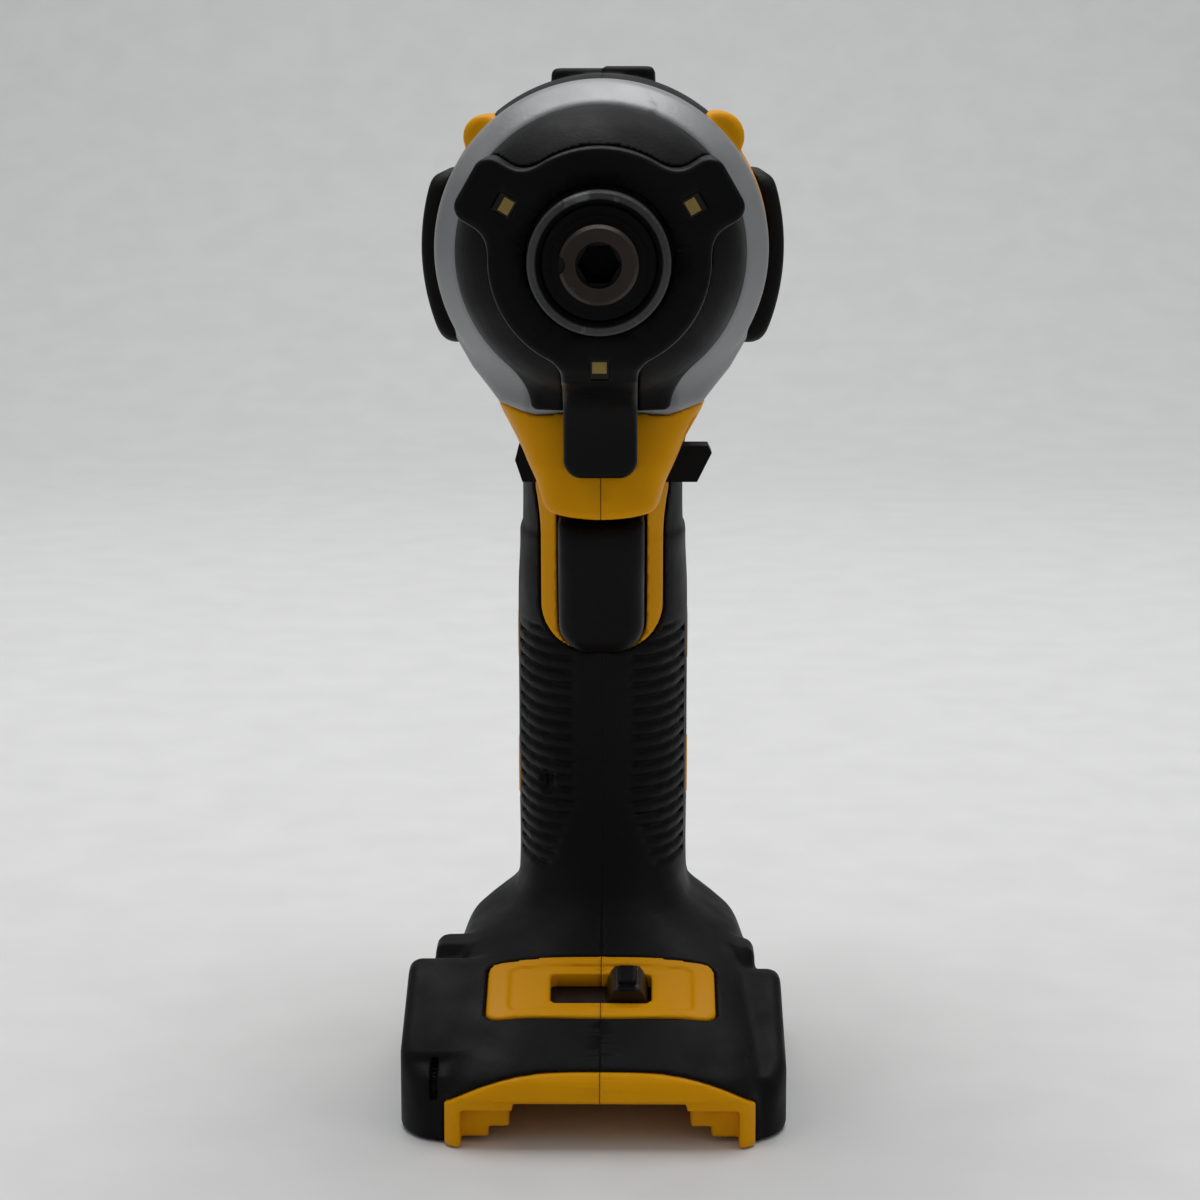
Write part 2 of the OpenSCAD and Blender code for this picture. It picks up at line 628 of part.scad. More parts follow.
// Side and top bumpers of rubber on the head
bumper_len = 44;
bumper_up = 13.5;
bumper_down = 20;
bumper_y0 = rim_y + wall * 7;
bumper_round = 3;
pad_len = 40;
pad_y0 = bumper_y0 + wall * 5;
tail_skin_len = 12;
module bumpers() {
    edge = bumper_round;
    difference() {
        union() {
            for (s = [-1, 1]) hull() for (b = [0, 1])
                block([s > 0 ? 0 : -bumper_reach + edge * b,
                       bumper_y0 + edge * (1 - b),
                       axis_z - bumper_down + edge * (1 - b)],
                      [s > 0 ? bumper_reach - edge * b : 0,
                       bumper_y0 + bumper_len - edge * (1 - b),
                       axis_z + bumper_up - edge * (1 - b)]);
            hull() for (b = [0, 1])
                block([-pad_w / 2 + edge * (1 - b),
                       pad_y0 + edge * (1 - b),
                       axis_z],
                      [pad_w / 2 - edge * (1 - b),
                       pad_y0 + pad_len - edge * (1 - b),
                       axis_z + pad_top - edge * b]);
        }
        head_form(0);
        screw_bosses(seat_gap / 2);
    }
}

// Clamshell screws: places as [y, z]
screw_r = 1.5;
screw_head_r = 2.8;
screw_head_len = 2.4;
screw_reach = 8;
boss_r = 3.3;
top_boss_r = 2.5;
screw_places = [
    [neck_front_y + wall * 2, axis_z - case_neck_drop - boss_r - wall * 0.6],
    [grip_top_back_y - skin - wall / 2, lip_z],
    [blend(grip_foot_back_y, grip_top_back_y, 0.4) - boss_r * 2, blend(foot_h, lip_z, 0.4)],
    [grip_foot_back_y - boss_r * 1.9, foot_h],
    [foot_back_y - boss_r * 1.8, bay_h + wall + boss_r * 1.5]];
top_screw_z = axis_z + head_rear_r - seat_gap;
top_screw_ys = [pad_y0 + boss_r * 2.6, pad_y0 + pad_len - boss_r * 2.4];
module screw_bosses(gap) {
    for (p = screw_places) cross_rod(-foot_w, foot_w, p[0], p[1], boss_r + gap);
    for (y = top_screw_ys)
        cross_rod(-pad_w * 0.42 - gap, pad_w * 0.42 + gap, y, top_screw_z, top_boss_r + gap);
}
module screw_holes() {
    for (p = concat(screw_places, [for (y = top_screw_ys) [y, top_screw_z]])) {
        cross_rod(-screw_reach - seat_gap, foot_w, p[0], p[1], screw_r + seat_gap);
        cross_rod(screw_reach - seat_gap, foot_w, p[0], p[1], screw_head_r + seat_gap);
    }
}

// Trigger, switch and direction button places
trigger_z1 = lip_z - wall * 0.6;
trigger_z0 = trigger_z1 - trigger_h;
trigger_front_y = lip_front_y + wall * 2.2;
trigger_back_y = trigger_front_y + trigger_travel * 2.1;
switch_y0 = trigger_back_y + trigger_travel + rear_gap * 2;
switch_len = 22;
switch_y1 = switch_y0 + switch_len;
switch_z0 = trigger_z0 + wall / 2;
switch_z1 = lip_z - wall * 1.4;
stem_r = 3;
stem_z = (trigger_z0 + trigger_z1) / 2;
stem_end_y = switch_y0 + trigger_travel;
button_h = 7;
button_depth = 7;
button_z0 = lip_z + wall * 2;
button_y0 = grip_top_front_y - rear_gap;
button_x = button_travel / 2;
lever_len = 2.2;
lever_z0 = lip_z + move_gap;
pivot_r = 1.6;
pivot_y = switch_y0 + pivot_r * 3;
tip_r = 1.4;
tip_y = button_y0 + button_depth - tip_r;
lever_angle = asin(button_x / (pivot_y - tip_y));

// Hollow of the housing: handle, neck, head and battery bay
floor_z = bay_h + wall;
module hollow() {
    deep = wall + skin;
    intersection() {
        translate([0, 0, -deep]) loft(body_rows, deep);
        block([-foot_w, -head_len, floor_z], [foot_w, head_len, axis_z]);
    }
    intersection() {
        union() {
            loft(neck_rows, wall);
            translate([0, 0, -deep]) loft(body_rows, deep);
            translate([0, 0, deep]) loft(body_rows, deep);
        }
        block([-foot_w, lip_front_y, lip_z + wall], [foot_w, head_len, axis_z]);
    }
    block([-switch_w * 0.35, motor_y, lip_z + wall],
          [switch_w * 0.35, motor_y + 3 * lead_r, axis_z - motor_cavity_r + over]);
    turned_solid([[0, rim_y - over], [front_cavity_r, rim_y - over], [front_cavity_r, motor_y],
                  [motor_cavity_r, motor_y], [motor_cavity_r, stator_y1],
                  [motor_cavity_r * 0.9, rear_bearing_y0], [motor_cavity_r * 0.6, tail_wall_y],
                  [0, tail_wall_y]]);
}
bay_back_y = foot_back_y * 0.66;
// Parts of the housing that stand in its hollow
rib_len = 3;
module inner_ribs() {
    for (y = [stator_y0 + rib_len, stator_y1 - 2 * rib_len])
        tube(y, y + rib_len, motor_cavity_r + wall / 2, clear_r(stator_r + seat_gap));
    tube(rear_bearing_y0 - seat_gap, tail_wall_y + wall / 2, motor_bearing_r + seat_gap + boss_wall,
         clear_r(motor_bearing_r + seat_gap));
    for (z = [switch_z0 + boss_r, switch_z1 - boss_r], s = [-1, 1])
        cross_rod(s > 0 ? switch_w / 2 + seat_gap : -grip_w / 2 + skin,
                  s > 0 ? grip_w / 2 - skin : -switch_w / 2 - seat_gap, switch_y0 + switch_len * 0.6, z,
                  boss_r);
    for (s = [-1, 1]) module_rest(s);
    for (s = [-1, 1]) board_rest(s);
}
// Rails that a battery pack slides on
rail_w = bay_w * 0.18;
rail_h = 5.4;
rail_foot_w = bay_w * 0.098;
rail_foot_h = 2;
rail_y0 = foot_front_y + bezel_len;
module rails() {
    for (s = [0, 1]) mirror([s, 0, 0]) {
        block([bay_w / 2 - rail_w, rail_y0, bay_h - rail_h],
              [bay_w / 2 + wall / 2, bay_back_y + wall / 2, bay_h + wall / 2]);
        block([bay_w / 2 - rail_foot_w, rail_y0, bay_h - rail_h - rail_foot_h],
              [bay_w / 2 + wall / 2, bay_back_y + wall / 2, bay_h]);
    }
}
module openings() {
    block([-bay_w / 2, foot_front_y - over, -over], [bay_w / 2, bay_back_y, bay_h]);
    opening = trigger_w / 2 + move_gap;
    block([-opening, lip_front_y - over, trigger_z0 - move_gap],
          [opening, switch_y0 + switch_len / 2, lip_z + wall / 5]);
    block([-foot_w, button_y0 - move_gap, button_z0 - move_gap],
          [foot_w, button_y0 + button_depth + move_gap, button_z0 + button_h + move_gap]);
    block([-neck_w / 4, button_y0, lip_z - wall * 2],
          [neck_w / 4, switch_y0 + switch_len / 2, button_z0 + over]);
    at_selector()
        block([-slot_w / 2, -slot_depth / 2, -wall * 2], [slot_w / 2, slot_depth / 2, foot_h / 2]);
    block([-terminal_w / 2 - seat_gap, terminal_y0 - seat_gap, 0],
          [terminal_w / 2 + seat_gap, terminal_y1 + seat_gap, floor_z + over]);
    selector_room();
    for (s = [-1, 1]) hook_pocket(s);
    head_vents();
}
// Cooling slots of the head
vent_count = 5;
vent_w = 2;
vent_len = 12;
vent_angles = [48, 132, 228, 312];
vent_step = 7;
module head_vents() {
    for (a = vent_angles, i = [0 : vent_count - 1])
        on_axis(fan_y0 - vent_len / 4) turned(a + (i - (vent_count - 1) / 2) * vent_step)
            translate([stator_r, -vent_w / 2, 0]) cube([stator_r, vent_w, vent_len]);
    tail_vents();
}
tail_vent_count = 14;
module tail_vents() {
    for (i = [1 : tail_vent_count]) on_axis(rear_bearing_y1) turned(360 * (i + 0.5) / tail_vent_count)
        translate([motor_bearing_r + boss_wall * 1.6, -vent_w / 2, 0])
            cube([head_rear_r * 0.25, vent_w, bearing_len * 2]);
}

// Moulded body of the foot and grip, drawn in by an inset
module body_form(inset) {
    intersection() {
        union() {
            translate([0, 0, -inset]) loft(body_rows, inset);
            lugs(inset);
        }
        block([-head_len, -head_len, 0], [head_len, head_len, 2 * axis_z]);
    }
}
// Rubber skin of the grip and foot
groove_count = 9;
groove_pitch = 5.5;
groove_w = 1.4;
groove_depth = 0.7;
groove_lift = 3;
groove_x0 = 5.5;
groove_z0 = foot_h + wall;
module grip_grooves() {
    x1 = grip_w / 2 + over;
    difference() {
        for (i = [0 : groove_count - 1], s = [0, 1]) mirror([s, 0, 0])
            front_view(grip_top_front_y - over, grip_foot_back_y + over)
                translate([0, groove_z0 + i * groove_pitch])
                polygon([[groove_x0, 0], [x1, groove_lift], [x1, groove_lift + groove_w],
                         [groove_x0, groove_w]]);
        body_form(groove_depth);
    }
}
module grip_skin() {
    difference() {
        intersection() {
            body_form(0);
            grip_zone();
        }
        body_form(skin);
        bare_places();
        head_form(0);
        loft(neck_rows);
        grip_grooves();
    }
}
// Rubber skin of the tail, standing out by a growth
module tail_skin(growth) {
    difference() {
        head_form(-growth);
        head_form(skin);
        block([-head_len, -head_len, 0], [head_len, tail_y - tail_skin_len, 2 * axis_z]);
    }
}
module rubber() {
    difference() {
        union() {
            grip_skin();
            tail_skin(0);
            bumpers();
        }
        openings();
        screw_holes();
    }
}
module nose_parts() {
    case_form(seat_gap);
    boot_form(seat_gap);
    lamp_form(seat_gap);
}
// Outside of the hard shell: it lies under the rubber, and comes up where the rubber leaves it bare
module housing_outside() {
    body_form(skin);
    intersection() {
        body_form(0);
        bare_places();
    }
    difference() {
        body_form(0);
        grip_zone();
    }
    loft(neck_rows);
    difference() {
        head_form(0);
        tail_skin(over);
    }
    shoulders();
}
// Space up to the middle of the hard shell's wall, where bosses and ribs may stand
module housing_middle() {
    body_form(skin + wall / 2);
    loft(neck_rows, wall / 2);
    head_form(wall / 2);
}
module housing() {
    difference() {
        union() {
            difference() {
                housing_outside();
                hollow();
            }
            difference() {
                intersection() {
                    union() {
                        screw_bosses(0);
                        inner_ribs();
                    }
                    housing_middle();
                }
                rod(rim_y - over, motor_y, front_cavity_r);
            }
            top_screw_bosses();
        }
        openings();
        screw_holes();
        nose_parts();
    }
    rails();
}
module top_screw_bosses() {
    difference() {
        for (y = top_screw_ys) cross_rod(-pad_w * 0.42, pad_w * 0.42, y, top_screw_z, top_boss_r);
        rod(motor_y, tail_y, clear_r(stator_r + seat_gap));
    }
}
module half(side) {
    intersection() {
        children();
        block([side > 0 ? 0 : -head_len, -head_len, -over],
              [side > 0 ? head_len : 0, head_len, 2 * axis_z]);
    }
}

yellow = "#dea010";
black = "#232326";
bare_metal = "#a9abae";
steel = "#77787b";
module left_housing() { color(yellow) one_body() half(-1) housing(); }
module right_housing() { color(yellow) one_body() half(1) housing(); }
module left_grip() { color(black) one_body() half(-1) rubber(); }
module right_grip() { color(black) one_body() half(1) rubber(); }
module housing_screws() {
    color(steel) for (p = concat(screw_places, [for (y = top_screw_ys) [y, top_screw_z]])) {
        cross_rod(-screw_reach, screw_reach + screw_head_len, p[0], p[1], screw_r);
        difference() {
            cross_rod(screw_reach, screw_reach + screw_head_len, p[0], p[1], screw_head_r);
            cross_rod(screw_reach + screw_head_len / 2, screw_reach + screw_head_len + over, p[0], p[1],
                      screw_r);
        }
    }
}

// Nose
module hammer_case() {
    color(bare_metal) difference() {
        case_form(0);
        rod(case_y0 - over, chamber_y, bush_r + seat_gap / 4);
        rod(chamber_y, ring_y0, chamber_r);
        rod(ring_y0 - seat_gap, case_y1 + over, ring_seat_r);
    }
}
module nose_boot() {
    color(black) difference() {
        boot_form(0);
        case_form(seat_gap / 2);
        lamp_tongue_room();
    }
}
// The tongue passes in front of the boot's skirt
module lamp_tongue_room() {
    on_axis(lamp_y0) translate([-tongue_w / 2 - seat_gap, boot_r, 0])
        cube([tongue_w + 2 * seat_gap, tongue_drop, boot_y1 - lamp_y0 - skirt_len / 2]);
}
lamp_recess = 1.6;
lamp_window = 3.6;
lamp_chip = 2.7;
chip_len = 0.5;
lens_len = 0.6;
module lamp_places(size, y0, y1) {
    on_axis(y0) for (a = lamp_angles) turned(a)
        translate([lamp_reach - size / 2, -size / 2, 0]) cube([size, size, y1 - y0]);
}
module lamp_ring() {
    color(black) difference() {
        lamp_form(0);
        boot_form(seat_gap / 2);
        case_form(seat_gap / 2);
        rod(nose_y, chamber_y, collar_r + move_gap * 2);
        lamp_places(lamp_window, nose_y, lamp_y0 + lamp_recess);
    }
}
module lamp_lenses() {
    color("#e8e6da")
        lamp_places(lamp_window - seat_gap, lamp_y0 + lamp_recess / 4,
                    lamp_y0 + lamp_recess / 4 + lens_len);
}
module lamp_chips() {
    color("#e8d77c") lamp_places(lamp_chip, lamp_y0 + lamp_recess - chip_len, lamp_y0 + lamp_recess);
}
module nose_bush() {
    color("#b08d57") tube(case_y0 + seat_gap, chamber_y - seat_gap, bush_r, journal_r + run_fit);
}

// Anvil, collar and bit detent
edge = 0.6;
jaw_reach = hammer_r - wall * 0.6;
jaw_w = 12;
detent_y = collar_y0 + collar_len * 0.66;
detent_r = detent_d / 2;
detent_lift = 0.5;
detent_reach = anvil_r - detent_r - run_fit - detent_lift;
clip_y = collar_y0 + wall / 4;
clip_len = 0.9;
clip_depth = 0.6;
clip_rise = 1.4;
clip_reach = anvil_r + clip_rise;
module anvil() {
    color("#6f655c") difference() {
        union() {
            turned_solid([[0, nose_y], [anvil_r - edge, nose_y], [anvil_r, nose_y + edge],
                          [anvil_r, collar_y1 - edge], [journal_r, collar_y1], [journal_r, jaw_y0],
                          [journal_r + wall, jaw_y0], [journal_r + wall, jaw_y1], [0, jaw_y1]]);
            intersection() {
                rod(jaw_y0, jaw_y1, jaw_reach);
                block([-jaw_reach, jaw_y0, axis_z - jaw_w / 2], [jaw_reach, jaw_y1, axis_z + jaw_w / 2]);
            }
        }
        rod(nose_y - over, nose_y + mouth_depth, mouth_d / 2);
        on_axis(nose_y) cylinder(r = socket_af / sqrt(3), h = socket_depth, $fn = 6);
        rod(jaw_y1 - pilot_len, jaw_y1 + over, pilot_r + run_fit);
        difference() {
            rod(clip_y, clip_y + clip_len, anvil_r + over);
            rod(clip_y - over, clip_y + clip_len + over, anvil_r - clip_depth);
        }
        on_axis(detent_y) rotate([0, 90, 0])
            cylinder(r = detent_r + run_fit, h = 2 * collar_r, center = true);
        on_axis(nose_y - over) turned(180) translate([anvil_r + edge, 0, 0])
            cylinder(r = edge * 3, h = over + mouth_depth / 2);
    }
}
module detent_ball(side) {
    color(steel) on_axis(detent_y) translate([side * detent_reach, 0, 0]) sphere(r = detent_r);
}
land_y0 = detent_y - detent_r - edge;
land_y1 = detent_y + detent_r;
collar_wall = 2.2;
collar_room_r = collar_r - collar_wall;
module collar() {
    color("#55575b") difference() {
        turned_solid([[0, collar_y0], [collar_r - edge, collar_y0], [collar_r, collar_y0 + edge],
                      [collar_r, collar_y1 - edge], [collar_r - edge, collar_y1], [0, collar_y1]]);
        rod(collar_y0 - over, land_y0, collar_room_r);
        rod(collar_y0, collar_y1, anvil_r + run_fit);
        rod(land_y1, collar_y1 + over, collar_room_r);
    }
}
collar_washer_len = 0.7;
collar_wire_r = 0.4;
collar_spring_y0 = clip_y + clip_len + collar_washer_len + seat_gap / 2;
module collar_washer() {
    color(steel)
        tube(clip_y + clip_len + seat_gap / 4, collar_spring_y0 - seat_gap / 4, collar_room_r - move_gap,
             anvil_r + seat_gap / 2);
}
module collar_clip() {
    color("#3a3a3c")
        tube(clip_y + seat_gap / 4, clip_y + clip_len - seat_gap / 4, clip_reach,
             anvil_r - clip_depth + seat_gap / 4);
}
module collar_spring() {
    color(steel) on_axis(collar_spring_y0)
        coil_spring((anvil_r + collar_room_r) / 2, collar_wire_r, land_y0 - collar_spring_y0, 3);
}

// Hammer, cam shaft and main spring
lug_turn = -72;
hammer_jaw_len = jaw_len - edge;
module hammer() {
    color("#5d5f63") difference() {
        union() {
            turned_solid([[0, hammer_y0], [hammer_r - edge, hammer_y0], [hammer_r, hammer_y0 + edge],
                          [hammer_r, hammer_y1 - edge], [hammer_r - edge, hammer_y1], [0, hammer_y1]]);
            intersection() {
                tube(hammer_y0 - hammer_jaw_len, hammer_y0 + edge, hammer_r - edge,
                     journal_r + wall + move_gap * 2);
                on_axis(hammer_y0 - hammer_jaw_len) turned(lug_turn)
                    translate([-hammer_r, -jaw_w / 2, 0]) cube([hammer_d, jaw_w, hammer_jaw_len + edge]);
            }
        }
        rod(hammer_y0 - over, hammer_y1 + over, cam_r + run_fit);
        rod(spring_room_y, hammer_y1 + over, spring_room_r);
        for (a = [90, 270]) on_axis(hammer_y0 - hammer_jaw_len - over) turned(a)
            translate([cam_ball_reach, 0, 0])
            cylinder(r = cam_ball_r + run_fit,
                     h = cam_ball_y + cam_ball_r + run_fit - hammer_y0 + hammer_jaw_len + over);
    }
}
module cam_balls() {
    color(steel) for (a = [90, 270]) on_axis(cam_ball_y) turned(a) translate([cam_ball_reach, 0, 0])
        sphere(r = cam_ball_r);
}
module thrust_washer() { color(steel) tube(thrust_y, thrust_y + washer_len, washer_r, cam_r + move_gap); }
module thrust_balls() {
    color(steel) on_axis(spring_room_y + seat_gap / 4 + thrust_ball_r) for (i = [1 : thrust_ball_count])
        turned(360 * i / thrust_ball_count) translate([thrust_reach, 0, 0]) sphere(r = thrust_ball_r);
}
module hammer_spring() {
    color("#8a8d92") on_axis(spring_y0 + seat_gap / 4)
        coil_spring(thrust_reach, hammer_wire_r, spring_y1 - spring_y0 - seat_gap / 2, hammer_spring_turns);
}
module spring_seat() {
    color(steel) tube(spring_y1, flange_y0 - seat_gap / 4, washer_r, cam_r + seat_gap / 2);
}
// Straight groove of the cam between two places of a ball
groove_r = cam_ball_r * 1.08;
module cam_groove(angle, twist) {
    hull() {
        turned(angle) translate([cam_ball_reach, 0, cam_ball_y]) sphere(r = groove_r, $fn = 24);
        turned(angle + twist) translate([cam_ball_reach, 0, cam_ball_y + hammer_travel])
            sphere(r = groove_r, $fn = 24);
    }
}
module cam_shaft() {
    color("#6d7076") difference() {
        union() {
            rod(jaw_y1 - pilot_len + edge, jaw_y1 + edge, pilot_r);
            rod(jaw_y1 + edge, flange_y0 + edge, cam_r);
            rod(flange_y0, flange_y0 + flange_len, flange_r);
            rod(rear_flange_y0, rear_flange_y1, flange_r);
            rod(rear_flange_y1 - edge, cam_bearing_y0 + bearing_len, cam_journal_r);
            on_axis(flange_y0 + edge) for (i = [0 : planet_count - 1]) turned(-planet_angle(i + 0.5))
                translate([planet_reach, 0, 0])
                    cylinder(r = pillar_r, h = rear_flange_y1 - flange_y0 - 2 * edge);
        }
        on_axis() for (a = [90, 270], s = [-1, 1]) cam_groove(a, s * hammer_twist);
        rod(gear_y0 - move_gap, cam_bearing_y0 + bearing_len + over, journal_bore_r);
        on_axis(flange_y0 - over) for (i = [0 : planet_count - 1]) turned(-planet_angle(i))
            translate([planet_reach, 0, 0])
                cylinder(r = pin_r + seat_gap / 10, h = rear_flange_y1 - flange_y0 + 2 * over);
    }
}
module planet_pins() {
    color(steel) on_axis(flange_y0 + seat_gap / 4) for (i = [0 : planet_count - 1]) turned(-planet_angle(i))
        translate([planet_reach, 0, 0]) cylinder(r = pin_r, h = rear_flange_y1 - flange_y0 - seat_gap / 2);
}

// Planetary gears
module planet_gear(i) {
    a = planet_angle(i);
    place = [planet_reach * cos(a), planet_reach * sin(a), 0];
    color("#8b8e93") on_axis(gear_y0) translate(place) difference() {
        linear_extrude(height = gear_w) rotate(planet_phase(a))
            gear_outline(planet_teeth, addendum_share, dedendum_share, gear_thin);
        translate([0, 0, -over]) cylinder(r = pin_r + run_fit, h = gear_w + 2 * over);
    }
}
module ring_gear() {
    color("#7a7c80") on_axis(ring_y0) difference() {
        cylinder(r = ring_seat_r - seat_gap / 4, h = ring_y1 - ring_y0);
        translate([0, 0, -over]) linear_extrude(height = ring_y1 - ring_y0 + 2 * over)
                rotate(ring_phase + 180 / ring_teeth)
            gear_outline(ring_teeth, dedendum_share, addendum_share, -gear_thin);
    }
}
module gear_plate() {
    color(bare_metal) difference() {
        union() {
            tube(plate_y0, case_y1 + edge, ring_seat_r - seat_gap / 4, flange_r + rear_gap);
            rod(case_y1 + seat_gap / 4, plate_y1, spigot_r);
            rod(plate_y1 - edge, plate_y1 + bearing_len, motor_bearing_r + boss_wall);
        }
        rod(plate_y0 - over, cam_bearing_y0 + bearing_len + seat_gap, cam_bearing_r + seat_gap / 4);
        rod(plate_y0, plate_y1 + bearing_len, cam_journal_r * 0.6);
        rod(front_bearing_y0, plate_y1 + bearing_len + over, motor_bearing_r + seat_gap / 4);
    }
}
module cam_bearing() {
    color(steel)
        ball_bearing(cam_bearing_y0 + seat_gap / 2, bearing_len, cam_journal_r + run_fit, cam_bearing_r,
                     11);
}

// Motor
module pinion() {
    color("#8b8e93") on_axis(gear_y0) difference() {
        linear_extrude(height = gear_w) gear_outline(sun_teeth, addendum_share, dedendum_share, gear_thin);
        translate([0, 0, -over]) cylinder(r = shaft_r + seat_gap / 20, h = gear_w + 2 * over);
    }
}
module rotor_shaft() { color(steel) rod(gear_y0 + edge, rear_bearing_y1 - edge, shaft_r); }
module rotor_core() {
    color("#4b4d52") tube(stator_y0, stator_y1, rotor_r, shaft_r + seat_gap / 20);
}
blade_count = 18;
blade_len = 1;
hub_r = 6;
module cooling_fan() {
    color("#2f3034") difference() {
        union() {
            rod(fan_y0, fan_y0 + blade_len, fan_d / 2);
            rod(fan_y0, fan_y1, hub_r);
            on_axis(fan_y0 + blade_len / 2) for (i = [1 : blade_count]) turned(360 * i / blade_count)
                translate([fan_d / 4, -blade_len / 2, 0])
                    cube([fan_d / 4 - blade_len, blade_len, fan_len - blade_len]);
        }
        rod(fan_y0 - over, fan_y1 + over, shaft_r + seat_gap / 20);
    }
}
module front_bearing() {
    color(steel)
        ball_bearing(front_bearing_y0 + seat_gap / 4, bearing_len, shaft_r + run_fit, motor_bearing_r, 8);
}
module rear_bearing() {
    color(steel) ball_bearing(rear_bearing_y0, bearing_len, shaft_r + run_fit, motor_bearing_r, 8);
}
tooth_w = 8;
yoke = 5;
module stator_core() {
    color("#55585d") difference() {
        union() {
            tube(stator_y0, stator_y1, stator_r, stator_r - yoke);
            difference() {
                on_axis(stator_y0) for (i = [1 : coil_count]) turned(360 * i / coil_count)
                    translate([0, -tooth_w / 2, 0]) cube([stator_r - yoke / 2, tooth_w, stator_len]);
                rod(stator_y0 - over, stator_y1 + over, rotor_r + air_gap);
            }
        }
    }
}
coil_wall = 1.6;
module stator_coils() {
    inner = rotor_r + air_gap + coil_wall;
    outer = stator_r - yoke - coil_wall / 2;
    color("#a8622f") on_axis(stator_y0 - insulator_len + seat_gap) for (i = [1 : coil_count])
            turned(360 * i / coil_count)
        difference() {
            translate([inner, -tooth_w / 2 - coil_wall, 0])
                cube([outer - inner, tooth_w + 2 * coil_wall,
                      stator_len + 2 * insulator_len - 2 * seat_gap]);
            translate([inner - over, -tooth_w / 2 - seat_gap / 2, insulator_len - seat_gap * 1.5])
                cube([outer - inner + 2 * over, tooth_w + seat_gap, stator_len + seat_gap]);
        }
}
module stator_insulators() {
    color("#2a2b2e") for (y = [stator_y0 - insulator_len, stator_y1 + seat_gap / 4])
        tube(y, y + insulator_len - seat_gap / 4, stator_r - seat_gap, stator_r - yoke + seat_gap);
}
module sensor_board() {
    color("#2e5b3a") tube(board_y0, board_y0 + board_len, stator_r - wall, motor_bearing_r);
}

// Leads from the control module up the grip to the motor
lead_r = 1.2;
lead_xs_shares = [-0.2, 0, 0.2];
lead_sides = 8;
lead_route_shares = [[0, 0], [0, 0.3], [0, 0.6], [0, 0.9], [0, 0.965], [0.08, 0.985], [0.25, 1], [0.6, 1],
                     [1, 1]];
lead_y0 = motor_y + lead_r + 1.5 * seat_gap;
lead_y1 = stator_y0 - insulator_len - seat_gap;
lead_z1 = axis_z - stator_r + seat_gap;
function lead_point(s) = [blend(lead_y0, lead_y1, s[0]), blend(module_z1 + seat_gap, lead_z1, s[1])];
function lead_heading(j) =
    let (last = len(lead_route_shares) - 1,
         a = lead_point(lead_route_shares[max(0, j - 1)]),
         b = lead_point(lead_route_shares[min(last, j + 1)]))
    j == 0 ? 90 : j == last ? 0 : atan2(b[1] - a[1], b[0] - a[0]);
module lead(x) {
    rings = len(lead_route_shares);
    points = [for (j = [0 : rings - 1], i = [0 : lead_sides - 1])
        let (p = lead_point(lead_route_shares[j]), h = lead_heading(j), b = 360 * i / lead_sides)
        [x + lead_r * cos(b), p[0] - lead_r * sin(b) * sin(h), p[1] + lead_r * sin(b) * cos(h)]];
    sides = [for (j = [0 : rings - 2], i = [0 : lead_sides - 1])
        let (k = (i + 1) % lead_sides, a = j * lead_sides, b = (j + 1) * lead_sides)
        each [[a + i, a + k, b + k], [a + i, b + k, b + i]]];
    first = [for (i = [lead_sides - 1 : -1 : 0]) i];
    last = [for (i = [0 : lead_sides - 1]) (rings - 1) * lead_sides + i];
    polyhedron(points, concat(sides, [first, last]));
}
module motor_leads() { color("#7a1d1d") for (s = lead_xs_shares) lead(s * switch_w); }

// Trigger and switch
trigger_round = 3;
module trigger() {
    half_w = trigger_w / 2;
    low_front_y = trigger_front_y + trigger_travel;
    color(black) union() {
        hull() {
            for (s = [-1, 1]) {
                side = s * (half_w - trigger_round);
                translate([side, trigger_front_y + trigger_round, trigger_z1 - trigger_h / 3])
                    cylinder(r = trigger_round, h = trigger_h / 3, $fn = hull_fn);
                translate([side, low_front_y + trigger_round, trigger_z0 + trigger_round])
                    sphere(r = trigger_round, $fn = hull_fn);
            }
            block([-half_w, trigger_back_y - over, trigger_z0], [half_w, trigger_back_y, trigger_z1]);
        }
        translate([0, trigger_back_y - edge, stem_z]) rotate([-90, 0, 0])
            cylinder(r = stem_r, h = stem_end_y - trigger_back_y + edge);
    }
}
trigger_wire_r = 0.45;
module trigger_spring() {
    color(steel) translate([0, trigger_back_y + seat_gap / 4, stem_z]) rotate([-90, 0, 0])
        coil_spring(stem_r + trigger_wire_r + move_gap, trigger_wire_r,
                    switch_y0 - trigger_back_y - seat_gap / 2, 4);
}
module trigger_switch() {
    color("#3a3b40") {
        difference() {
            block([-switch_w / 2, switch_y0, switch_z0], [switch_w / 2, switch_y1, switch_z1]);
            translate([0, switch_y0 - over, stem_z]) rotate([-90, 0, 0])
                cylinder(r = stem_r + run_fit, h = 2 * trigger_travel + wall + over);
        }
        translate([0, pivot_y, switch_z1 - edge])
            cylinder(r = pivot_r, h = lever_z0 + lever_len + edge - switch_z1);
    }
}
module direction_button() {
    x0 = button_x - button_len / 2;
    x1 = button_x + button_len / 2;
    slant = button_h * 0.4;
    color(black) difference() {
        translate([0, button_y0 + button_depth, 0]) rotate([90, 0, 0]) linear_extrude(height = button_depth)
            polygon([[x0 + slant / 2, button_z0], [x1 - slant, button_z0],
                     [x1, button_z0 + button_h - slant / 2], [x1 - slant / 4, button_z0 + button_h],
                     [x0 + slant / 4, button_z0 + button_h], [x0, button_z0 + button_h - slant]]);
        block([button_x - tip_r - seat_gap, tip_y - 2 * tip_r, button_z0 - over],
              [button_x + tip_r + seat_gap, button_y0 + button_depth + over, button_z0 + button_h / 2]);
    }
}
